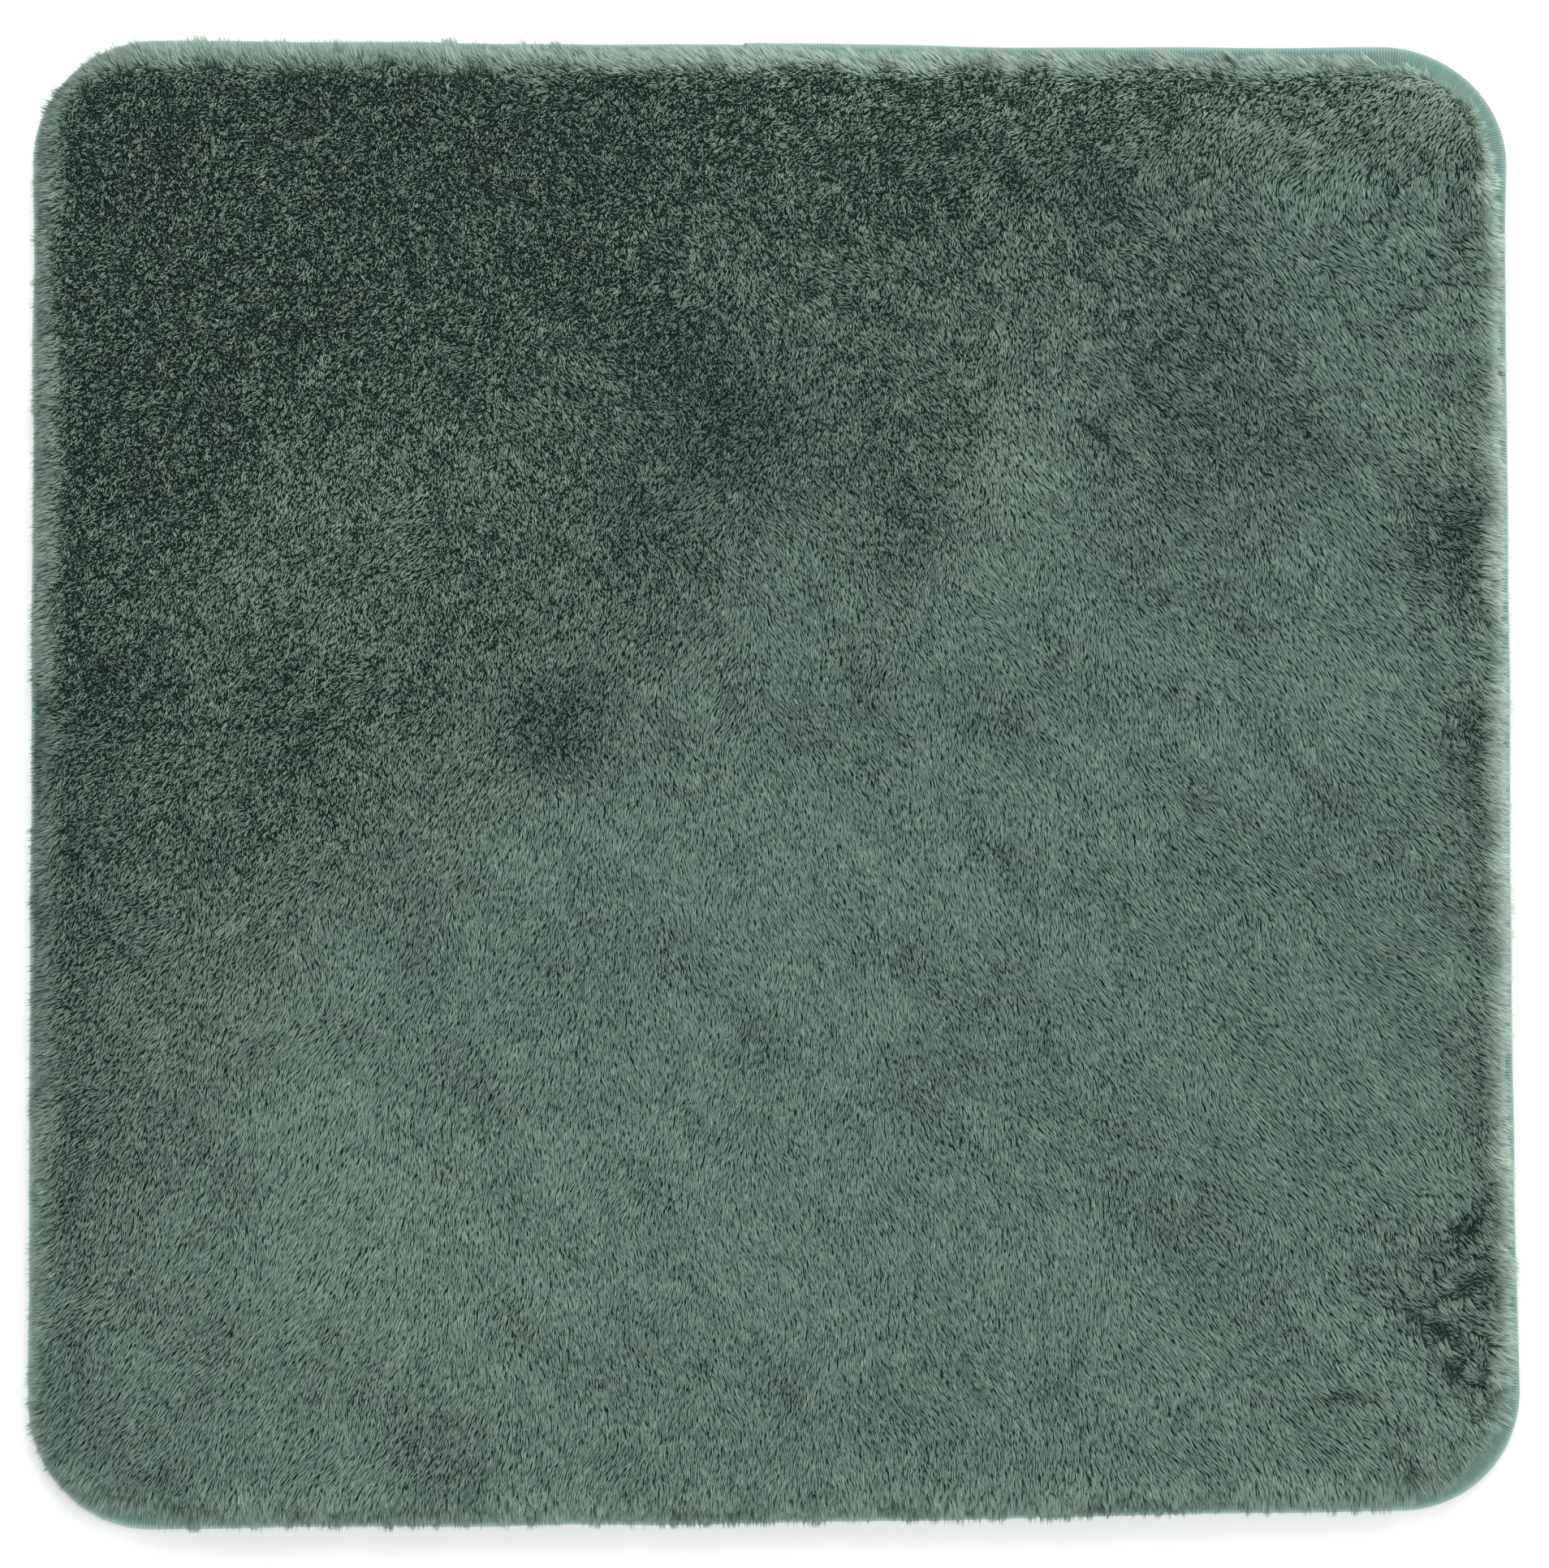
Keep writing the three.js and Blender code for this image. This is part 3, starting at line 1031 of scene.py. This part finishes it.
# %% Patches of the coat
# Patches that stand up: x, y, reach, and how strongly.
STANDING = (
    (-0.056, 0.178, 0.030, 0.65),
    (-0.024, 0.150, 0.026, 0.8),
    (-0.065, 0.100, 0.035, 0.45),
    (-0.090, 0.022, 0.024, 0.7),
    (-0.190, 0.015, 0.028, 0.6),
    (-0.140, 0.030, 0.016, 0.5),
    (-0.280, 0.130, 0.026, 0.7),
    (-0.278, 0.030, 0.032, 0.9),
    (-0.278, -0.030, 0.025, 0.6),
    (-0.275, -0.075, 0.022, 0.4),
    (-0.280, -0.150, 0.034, 0.45),
    (-0.225, -0.025, 0.028, 0.35),
    (0.060, 0.225, 0.026, 0.5),
    (0.050, 0.095, 0.020, 0.3),
    (0.125, 0.235, 0.026, 0.45),
    (-0.022, 0.120, 0.030, 0.3),
    (0.150, 0.122, 0.040, 0.3),
    (0.165, 0.185, 0.050, 0.35),
    (0.030, 0.140, 0.050, 0.3),
    (0.210, 0.135, 0.026, 0.4),
    (0.272, 0.095, 0.024, 0.7),
    (0.290, 0.015, 0.022, 0.8),
    (0.270, -0.200, 0.024, 0.3),
    (0.288, -0.240, 0.018, 0.3),
    (-0.140, -0.270, 0.020, 0.3),
    (-0.245, -0.280, 0.015, 0.3),
)
# Places where the coat is rough and stands in clumps, and places where it is paler: x, y, reach, how much.
ROUGH = (
    (0.270, -0.215, 0.060, 1.0),
    (0.285, 0.070, 0.045, 0.8),
    (0.260, 0.220, 0.060, 0.7),
    (0.150, 0.200, 0.070, 0.6),
    (0.010, 0.230, 0.060, 0.4),
)
PALER = (
    (-0.150, -0.190, 0.100, 0.06),
    (0.095, 0.125, 0.026, 0.06),
    (0.222, 0.262, 0.030, 0.06),
    (0.262, 0.139, 0.022, 0.06),
    (0.230, -0.280, 0.090, 0.03),
)
# Patches that are stroked flatter than what lies round them, given in the same way.
STROKED = ((-0.165, 0.110, 0.045, 0.26), (0.095, 0.125, 0.020, 0.3))


def patches(x, y, places):
    """The sum of soft round patches."""
    total = 0 * x
    for place_x, place_y, reach, share in places:
        total = total + share * patch(x, y, place_x, place_y, reach)
    return total


print("patches:", len(STANDING) + len(ROUGH) + len(PALER) + len(STROKED))


# %% Laid or standing
def stroked(x, y):
    """How far a place lies into the stroked part of the coat, before patches and streaks."""
    way = 0.8 * x - 0.9 * y + 0.05 * value_noise(x, y, 0.075, 21) + 0.03 * value_noise(x, y, 0.03, 22)
    return eased(way, -0.34, 0.02)


def how_laid(x, y):
    """0 where the coat stands up, 1 where it has been stroked flat."""
    laid = stroked(x, y) + patches(x, y, STROKED)
    for place_x, place_y, reach, share in STANDING:
        laid = laid * (1 - share * patch(x, y, place_x, place_y, reach))
    # Stroking leaves faint streaks that run to the near right corner.
    along, across = 0.7 * (x - y), 0.7 * (x + y)
    streaks = value_noise(along / 2.2, across, 0.019, 29) + 0.5 * value_noise(along / 2, across, 0.007, 30)
    laid = laid * (0.88 + 0.14 * streaks)
    # The rims stand up, on a border that wavers, and the far one less so towards the right.
    far = HALF - y + 6 * MM * value_noise(x, y, 0.018, 27)
    right = HALF - x + 6 * MM * value_noise(x, y, 0.018, 28)
    far_low = 0.30 + 0.35 * eased(x, -0.10, 0.04)
    laid = np.clip(laid, 0, 1) * (far_low + (1 - far_low) * eased(far, 0.004, 0.045))
    return laid * (0.55 + 0.45 * eased(right, 0.005, 0.035))


# %% The way the coat leans
# Degrees from upright.
STANDING_LEAN = 16
LAID_LEAN = 53


def nap(x, y):
    """Which way and how far the coat leans: the level reach of a hair one unit long."""
    laid = how_laid(x, y)
    lean = np.radians(STANDING_LEAN + (LAID_LEAN - STANDING_LEAN) * laid)
    swirl = 0.70 - 0.40 * laid
    way_x = 0.05 + 0.6 * x / HALF + swirl * value_noise(x, y, 0.021, 23)
    # Near the far edge the coat turns left, into the slant of the wisps that hang there.
    way_x = way_x - 1.5 * eased(y, 0.215, 0.275) * eased(x, -0.05, 0.08)
    way_y = -1.0 + swirl * value_noise(x, y, 0.021, 24)
    size = np.maximum(np.hypot(way_x, way_y), 1e-6)
    reach_x, reach_y = way_x / size * np.sin(lean), way_y / size * np.sin(lean)
    # Beside a parting the hairs lean away from it.
    for place_x, place_y, line, depth in PARTINGS:
        beside, beyond = parting(x, y, place_x, place_y, line)
        near = 0.85 * depth * np.exp(-((beside / 0.005) ** 2) - (beyond / 0.009) ** 2)
        aside = 0.7 * np.tanh(beside / 0.002)
        reach_x = reach_x * (1 - near) - near * aside * math.sin(line)
        reach_y = reach_y * (1 - near) + near * aside * math.cos(line)
    return reach_x, reach_y, laid


# %% [markdown]
# ## The fringe
#
# Round the rim nothing holds the outermost hairs from the side, so they tip over and hang across the tape
# as a fringe. It is narrower on the left, thinner where the pile stands back from the tape, and ragged
# along the right half of the far edge, where it hangs in wisps. Under the fringe the body is painted as
# open to the light, and so paler, so the fringe comes before the body is made.

# %% Fringe
FRINGE_WIDE = 23 * MM
FRINGE_LEAST = 11 * MM
FRINGE_LEFT = 16 * MM
FRINGE_START = 2 * MM


def fringe(x, y):
    """How strongly a place belongs to the rim's fringe, and how much that fringe hangs over the tape."""
    inset, out_x, out_y = inset_of(x, y)
    bare = bareness(x, y)
    wide = FRINGE_WIDE + (FRINGE_LEFT - FRINGE_WIDE) * np.maximum(-out_x, 0) - 1.5 * bare
    wavering = inset + 5 * MM * value_noise(x, y, 0.012, 25)
    share = 1 - eased(wavering, FRINGE_START, np.maximum(wide, FRINGE_LEAST))
    hang = 0.90 + 0.30 * value_noise(x, y, 0.014, 26) - 0.055 * np.maximum(bare, 0) / MM
    hang = hang + 0.20 * np.minimum(bare, 0) / BULGE
    ragged = 0.36 * value_noise(x, y, 0.007, 33) - 0.18
    hang = hang + np.maximum(out_y, 0) * eased(x, -0.06, 0.0) * (ragged - 0.12 * eased(x, 0.05, 0.16))
    return share, np.clip(hang, 0.45, 1)


# %% [markdown]
# ## The body itself
#
# Between the hairs one sees the body: near black where the coat stands, and paler where it is laid and
# light gets in. How laid each place is goes into the mesh as an attribute, one number for each point,
# which the material reads, so that body and hairs follow the same nap.

# %% The body
ATTRIBUTE_NUMBER = 2


def body_finish():
    body = Finish("pile_body", Roughness=0.9, Specular_IOR_Level=0.1)
    where = body.where()
    fine = body.noise(where, 1300.0, roughness=0.6)
    broad = body.noise(where, 60.0)
    laid = body.node("Attribute", {"attribute_name": "laid"}, output=ATTRIBUTE_NUMBER)
    deep = body.blend(laid, colour(10, 17, 14), colour(36, 54, 46))
    high = body.blend(laid, colour(50, 70, 62), colour(78, 104, 93))
    body.feed("Base Color", body.blend(fine * 0.9 + broad * 0.1, deep, high))
    body.bump(fine, 1.2 * MM)
    return body


def make_body():
    mesh = rounded_grid("pile_body", 0.0, BODY_CELLS)
    x, y = points_of(mesh)[:, :2].T
    laid = mesh.attributes.new("laid", "FLOAT", "POINT")
    share = np.maximum(how_laid(x, y), 0.8 * fringe(x, y)[0])
    laid.data.foreach_set("value", share.astype(np.float32))
    place, normal = seat(x, y)
    # The body lies a little under the seats, so that the hairs' roots are buried in it.
    move_points(mesh, settled(place - normal * 0.3 * MM))
    make_piece("pile_body", mesh, body_finish(), ["fur_pile"])


make_body()
print("pile body, mm: top", round(BODY_TOP / MM, 1), " foot", round(BODY_FOOT / MM, 1))

# %% [markdown]
# ## Hairs, tufts and wisps
#
# The fur is what one sees of this mat, and a bump map can't give it: its light comes from between the
# hairs. So it is made of real hairs. Each keeps to the nap but strays a little, with its tuft and by
# itself, and its tip is drawn towards the leader of its tuft. At the rim the hairs hang over the tape, and
# there whole locks of them cling together as wisps.

# %% Growing a hair
# The two halves of a hair: what part of its length each is, and how far it bends.
HALVES = ((0.5, 0.7), (0.5, 1.25))
UP = np.array([0.0, 0.0, 1.0])
STEEPEST = math.radians(84)
# How much longer a hair of the fringe is, and how much less so where the pile swells.
FRINGE_LONGER = 0.60
SWOLLEN_SHORTER = 0.40


def hung(x, y, hang, sway_x, sway_y):
    """The way in which the fringe's hairs go over the rim. At the far edge they slant to the left."""
    out_x, out_y = inset_of(x, y)[1:]
    slant = 0.40 + 0.95 * eased(x, -0.20, -0.02)
    side_x = out_x - slant * np.maximum(out_y, 0) + 1.6 * sway_x
    side_y = out_y - 0.35 * np.abs(out_x) + 1.6 * sway_y
    return np.stack([side_x * hang, side_y * hang, 1.0 - 1.30 * hang], -1)


def grow(x, y, sway_x, sway_y, length):
    """Root, middle and tip of each hair's free end, from its seat on the pile's body."""
    place, normal = seat(x, y)
    share, hang = fringe(x, y)
    reach_x, reach_y, laid = nap(x, y)
    loose = 1.15 - 0.65 * laid
    reach_x, reach_y = reach_x + loose * sway_x, reach_y + loose * sway_y
    lean = np.arcsin(np.clip(np.hypot(reach_x, reach_y), 0, 0.97))
    size = np.maximum(np.hypot(reach_x, reach_y), 1e-6)
    way = np.stack([reach_x / size, reach_y / size, 0 * size], -1)
    over = hung(x, y, hang, sway_x, sway_y)
    swollen = np.clip(-bareness(x, y) / BULGE, 0, 1)
    length = length * (1 + (FRINGE_LONGER - SWOLLEN_SHORTER * swollen) * share * hang)
    points = [place]
    for part, bend in HALVES:
        angle = np.minimum(lean * bend, STEEPEST)[:, None]
        free = UP * np.cos(angle) + way * np.sin(angle)
        rim = normal * (1.1 - 0.6 * bend) * (0.35 + 0.65 * hang[:, None]) + over * bend
        step = free * (1 - share[:, None]) + rim * share[:, None] + 0.35 * normal * (1.1 - bend)
        points.append(points[-1] + unit(step) * (length * part)[:, None])
    return np.stack(points, 1)


# %% Gathering hairs into tufts
# How strongly the root, the middle and the tip of a hair are drawn to its leader.
DRAWN = np.array([0.0, 0.55, 0.95])[None, :, None]


def gather(points, leaders, hold):
    """Draws each hair to its leader, the more the nearer to the tip."""
    return points + (leaders - points) * DRAWN * hold[:, None, None]


def nearest_leader(x, y, cell, seed):
    """Leaders stand in jittered cells. Gives the place of each point's nearest one, a number for it, and how
    many numbers there are."""
    draw = np.random.default_rng(seed)
    size = int(2 * HALF / cell) + 6
    shift = draw.uniform(0.08, 0.92, (2, size, size))
    column, row = np.floor((x + HALF) / cell).astype(int) + 2, np.floor((y + HALF) / cell).astype(int) + 2
    best = np.full(len(x), 1e9)
    home_x, home_y, number = np.zeros(len(x)), np.zeros(len(x)), np.zeros(len(x), int)
    for step_x in (-1, 0, 1):
        for step_y in (-1, 0, 1):
            i, j = column + step_x, row + step_y
            there_x = (i - 2 + shift[0, i, j]) * cell - HALF
            there_y = (j - 2 + shift[1, i, j]) * cell - HALF
            away = (there_x - x) ** 2 + (there_y - y) ** 2
            closer = away < best
            best = np.where(closer, away, best)
            home_x, home_y = np.where(closer, there_x, home_x), np.where(closer, there_y, home_y)
            number = np.where(closer, i * size + j, number)
    return home_x, home_y, number, size * size


# %% [markdown]
# ## Where the hairs stand
#
# Plain random places leave gaps and crowds, and a grid shows as rows. A low-discrepancy sequence lies
# between the two: each new place falls where there is room. The places are shuffled at the end, so that
# each combing takes its hairs from all over the mat.

# %% Sowing
PASSES = 8
HAIRS_EACH = 92_000
# The steps of the sequence: one over the plastic number, and one over its square.
STEP_X = 0.7548776662
STEP_Y = 0.5698402910
rng = np.random.default_rng(2)


def scatter(count):
    """Even but unruly places over the flat body, with the square's corners cut off."""
    tries = int(count * 4 * HALF * HALF / flat_area(2 * HALF, CORNER) * 1.006) + 50
    order = np.arange(1, tries + 1)
    x = ((0.5 + STEP_X * order) % 1 * 2 - 1) * HALF
    y = ((0.5 + STEP_Y * order) % 1 * 2 - 1) * HALF
    x = x + rng.normal(0, 0.3 * MM, tries)
    y = y + rng.normal(0, 0.3 * MM, tries)
    kept = inset_of(x, y)[0] > 0.2 * MM
    x, y = x[kept][:count], y[kept][:count]
    shuffle = rng.permutation(len(x))
    return x[shuffle], y[shuffle]


# %% [markdown]
# ## Combing the coat
#
# Hairs stray on three scales: whole locks sway together, tufts sway within their lock, and each hair a
# little by itself. Locks and tufts have a leader each, a hair that is grown in the same way, to which the
# others are drawn. How strongly they cling depends on the place: most at the rim and in the rough patches.

# %% Sway and length
LOCK = 5.2 * MM
TUFT = 1.7 * MM
LOCK_STRAYS = 0.07
TUFT_STRAYS = 0.12
HAIR_STRAYS = 0.13
# Hairs that stand up are seen from their tips and stay this much shorter.
STANDING_SHORTER = 0.28


def stray(count, spread):
    return rng.normal(0, spread, count), rng.normal(0, spread, count)


def hair_lengths(lock, locks, tuft, tufts, uneven, shorter):
    """The length of each hair: its lock's, its tuft's and its own chance multiplied."""
    lock_length = 1 + rng.normal(0, 1, locks)[lock] * uneven
    tuft_length = rng.normal(1, 0.08, tufts)[tuft]
    length = FREE_END * np.clip(tuft_length * lock_length * rng.normal(1, 0.12, len(lock)), 0.6, 1.4)
    return length * (1 - shorter)


def kept_above(hair):
    """Lifts the parts of a hair that would sink into the tape or into the ground cloth."""
    inset = inset_of(hair[..., 0], hair[..., 1])[0]
    floor = np.where(inset < BODY_EDGE, TAPE_TOP + 0.9 * MM, 0.0)
    floor = np.where(inset < 0, RIM, floor)
    hair[:, 1:, 2] = np.maximum(hair[:, 1:, 2], floor[:, 1:])
    return hair


# %% Shades of the coat
def rim_paleness_and_glow(x, y, far_right):
    """How much paler than the coat the fringe is: most on the right, least on the left and the far edge. It
    is partly paler tips and partly painted light, the glow of light through the thin hairs from the pale
    floor.
    """
    out_x, out_y = inset_of(x, y)[1:]
    paler = 0.18 + 0.50 * np.maximum(out_x, 0) * eased(y, -0.28, -0.20)
    paler = paler - 0.50 * np.maximum(-out_x, 0) * eased(y, -0.22, -0.05)
    paler = paler - 0.27 * np.maximum(out_y, 0) - 0.03 * far_right
    return paler + 0.10 * np.maximum(bareness(x, y), 0) / MM * eased(y, 0.1, 0.25)


def hair_tones(x, y, lock, locks, tuft, tufts, laid, rim):
    """Each hair's shade, from the dyed yarn at 0 to the palest at 1."""
    far_right = np.maximum(inset_of(x, y)[2], 0) * eased(x, -0.05, 0.10)
    tone = 0.70 - 0.38 * stroked(x, y) + 0.05 * eased(x, 0.23, 0.29) - 0.06 * eased(-x, 0.26, 0.29)
    tone = tone + 0.25 * eased(y, 0.24, 0.285) * eased(x, -0.10, 0.04) + patches(x, y, PALER)
    tone = tone + rng.normal(0, 0.02, locks)[lock]
    chance = rng.normal(0, 0.07, len(x)) + rng.normal(0, 0.03, tufts)[tuft]
    tone = tone + chance * (1.4 - 0.8 * laid)
    # Towards the right of the far edge the fringe's painted light reaches further in, and paints out the
    # shade where the coat turns over the rim.
    return tone + rim_paleness_and_glow(x, y, far_right) * rim ** (1.7 - 0.9 * far_right)


# %% Combing
HAIR_WIDTH = 0.50 * MM


def comb():
    """Every hair's middle line, width, tone and openness."""
    count = PASSES * HAIRS_EACH
    x, y = scatter(count)
    lock_x, lock_y, lock, locks = nearest_leader(x, y, LOCK, 31)
    tuft_x, tuft_y, tuft, tufts = nearest_leader(x, y, TUFT, 32)
    laid = how_laid(x, y)
    rim = fringe(x, y)[0]
    rough = np.clip(patches(x, y, ROUGH), 0, 1)
    # The fringe clings less along the two sides, except at their near ends.
    cling = rim * (1 - 0.65 * np.abs(inset_of(x, y)[1]) * eased(y, -0.27, -0.22))

    lock_sway = [values[lock] * (0.8 + 1.6 * rough) for values in stray(locks, LOCK_STRAYS)]
    tuft_sway = [values[tuft] for values in stray(tufts, TUFT_STRAYS)]
    hair_sway = stray(count, HAIR_STRAYS)
    uneven = 0.05 + 0.10 * rough + 0.17 * cling
    shorter = STANDING_SHORTER * (1 - laid) * (1 - rim)
    length = hair_lengths(lock, locks, tuft, tufts, uneven, shorter)

    lock_line = grow(lock_x, lock_y, *lock_sway, length)
    sway_x, sway_y = lock_sway[0] + tuft_sway[0], lock_sway[1] + tuft_sway[1]
    hold = np.clip(0.08 + 0.40 * rough + 0.72 * cling, 0, 0.85)
    tuft_line = gather(grow(tuft_x, tuft_y, sway_x, sway_y, length), lock_line, hold)
    hair = grow(x, y, sway_x + hair_sway[0], sway_y + hair_sway[1], length)
    clump = np.clip(0.20 + 0.20 * eased(x, 0.0, 0.2) * laid + 0.30 * rough + 0.3 * cling, 0, 0.75)
    hair = kept_above(gather(hair, tuft_line, clump))

    tone = hair_tones(x, y, lock, locks, tuft, tufts, laid, rim)
    openness = np.maximum(laid, eased(rim, 0.0, 0.7)) + rng.uniform(-0.15, 0.15, count)
    width = HAIR_WIDTH * (0.80 + 0.20 * np.maximum(laid, rim)) * rng.uniform(0.75, 1.25, count)
    return hair, width, np.clip(tone, 0.02, 0.98), np.clip(openness, 0, 0.999)


hairs, widths, tones, open_shares = comb()
print("hairs:", len(hairs), " tallest tip, mm:", round(hairs[..., 2].max() / MM, 1))

# %% [markdown]
# ## Colour of a hair
#
# Plush yarn is dyed in one bath, but each fibre takes it a little differently, and the hairs are paler where
# the coat stands than where it is stroked flat. The fringe is paler too, partly from its tips and partly as
# painted light, the glow of light through its thin hairs from the pale floor. Towards its root a hair stands
# in the shade of its neighbours, less so where the coat lies open, and that shade is painted. All that is
# known before rendering, so it goes in the hair's own map: across the map runs the tone, and up it run four
# bands from a standing to an open coat, each from root to tip. The material only reads the map.

# %% Fur finish
BANDS = 4
# A hair's light from root to tip, in a standing coat and in an open one.
SHADED = ((0.0, (0.05, 0.06, 0.055)), (0.45, (0.38, 0.41, 0.39)), (0.85, (1.0, 1.0, 1.0)))
OPEN = ((0.0, (0.24, 0.28, 0.26)), (0.45, (0.72, 0.75, 0.73)), (0.85, (1.0, 1.0, 1.0)))


def fur_finish():
    fur = Finish("plush_fur", Roughness=0.6, Specular_IOR_Level=0.14, Sheen_Weight=0.12, Sheen_Roughness=0.4)
    fur.shader.inputs["Sheen Tint"].default_value = colour(170, 214, 196)
    tone, along, openness = fur.banded_map(BANDS)
    dyed = fur.blend(tone, colour(62, 95, 86), colour(191, 212, 199))
    depth = fur.blend(openness, fur.ramp(along, *SHADED), fur.ramp(along, *OPEN))
    fur.feed("Base Color", fur.blend(1.0, dyed, depth, how="MULTIPLY"))
    return fur


# %% [markdown]
# ## Hairs as blades
#
# A hair is a narrow blade of two triangles: its root, a pair of points that gives it width and a bend, and
# its tip. The pair lies across the hair and mostly level, turned a little at random about the hair, so the
# coat glitters softly instead of all at once. The coat is split into combings of the same kind, each over
# the whole mat, as pieces of a size that other programs can handle.

# %% One blade
# How far a blade is turned about itself, at random.
TWIST = math.radians(28)


def blade():
    shape = bmesh.new()
    root, left, right, tip = [shape.verts.new((0, 0, i)) for i in range(4)]
    shape.faces.new((root, left, right))
    shape.faces.new((left, tip, right))
    return to_mesh(shape, "blade")


def blade_points(line, width):
    """Four points for each hair from the three along its middle line."""
    ahead = unit(line[:, 2] - line[:, 0])
    level = np.stack([-ahead[:, 1], ahead[:, 0], 0 * ahead[:, 0]], -1)
    across = unit(level + rng.normal(0, 0.15, ahead.shape))
    # The blade's front is turned upwards.
    upward = np.cross(ahead, across)[:, 2:3]
    across = across * np.sign(-upward + 1e-9) * -1
    twist = rng.normal(0, TWIST, len(line))[:, None]
    across = across * np.cos(twist) + np.cross(ahead, across) * np.sin(twist)
    across = across * width[:, None] / 2
    return np.stack([line[:, 0], line[:, 1] - across, line[:, 1] + across, line[:, 2]], 1)


# %% Laying the coat
# Where a blade's four points lie on its map: along the hair, and a hair's breadth to each side of its tone.
ALONG = np.array([0.0, 0.5, 0.5, 1.0])
BESIDE = np.array([0.0, -1.0, 1.0, 0.0]) * 1.2 / 1024


def hair_map(tone, openness):
    """Places on the map for every point of every blade, each just inside its band."""
    band = np.floor(openness * BANDS)
    up = (band[:, None] + 0.04 + 0.92 * ALONG) / BANDS
    across = tone[:, None] + BESIDE
    return np.stack([across.ravel(), up.ravel()], -1)


def lay_coat():
    finish = fur_finish()
    pattern = many(blade(), HAIRS_EACH, "fur")
    corners = corners_of(pattern)
    for number in range(PASSES):
        mine = slice(number, None, PASSES)
        mesh = pattern.copy()
        mesh.name = "fur"
        move_points(mesh, settled(blade_points(hairs[mine], widths[mine]).reshape(-1, 3)))
        set_map(mesh, hair_map(tones[mine], open_shares[mine])[corners])
        make_piece("fur_combing_" + str(number + 1), mesh, finish, ["fur_pile"])
    print("combings:", PASSES, " triangles each:", HAIRS_EACH * 2)


lay_coat()
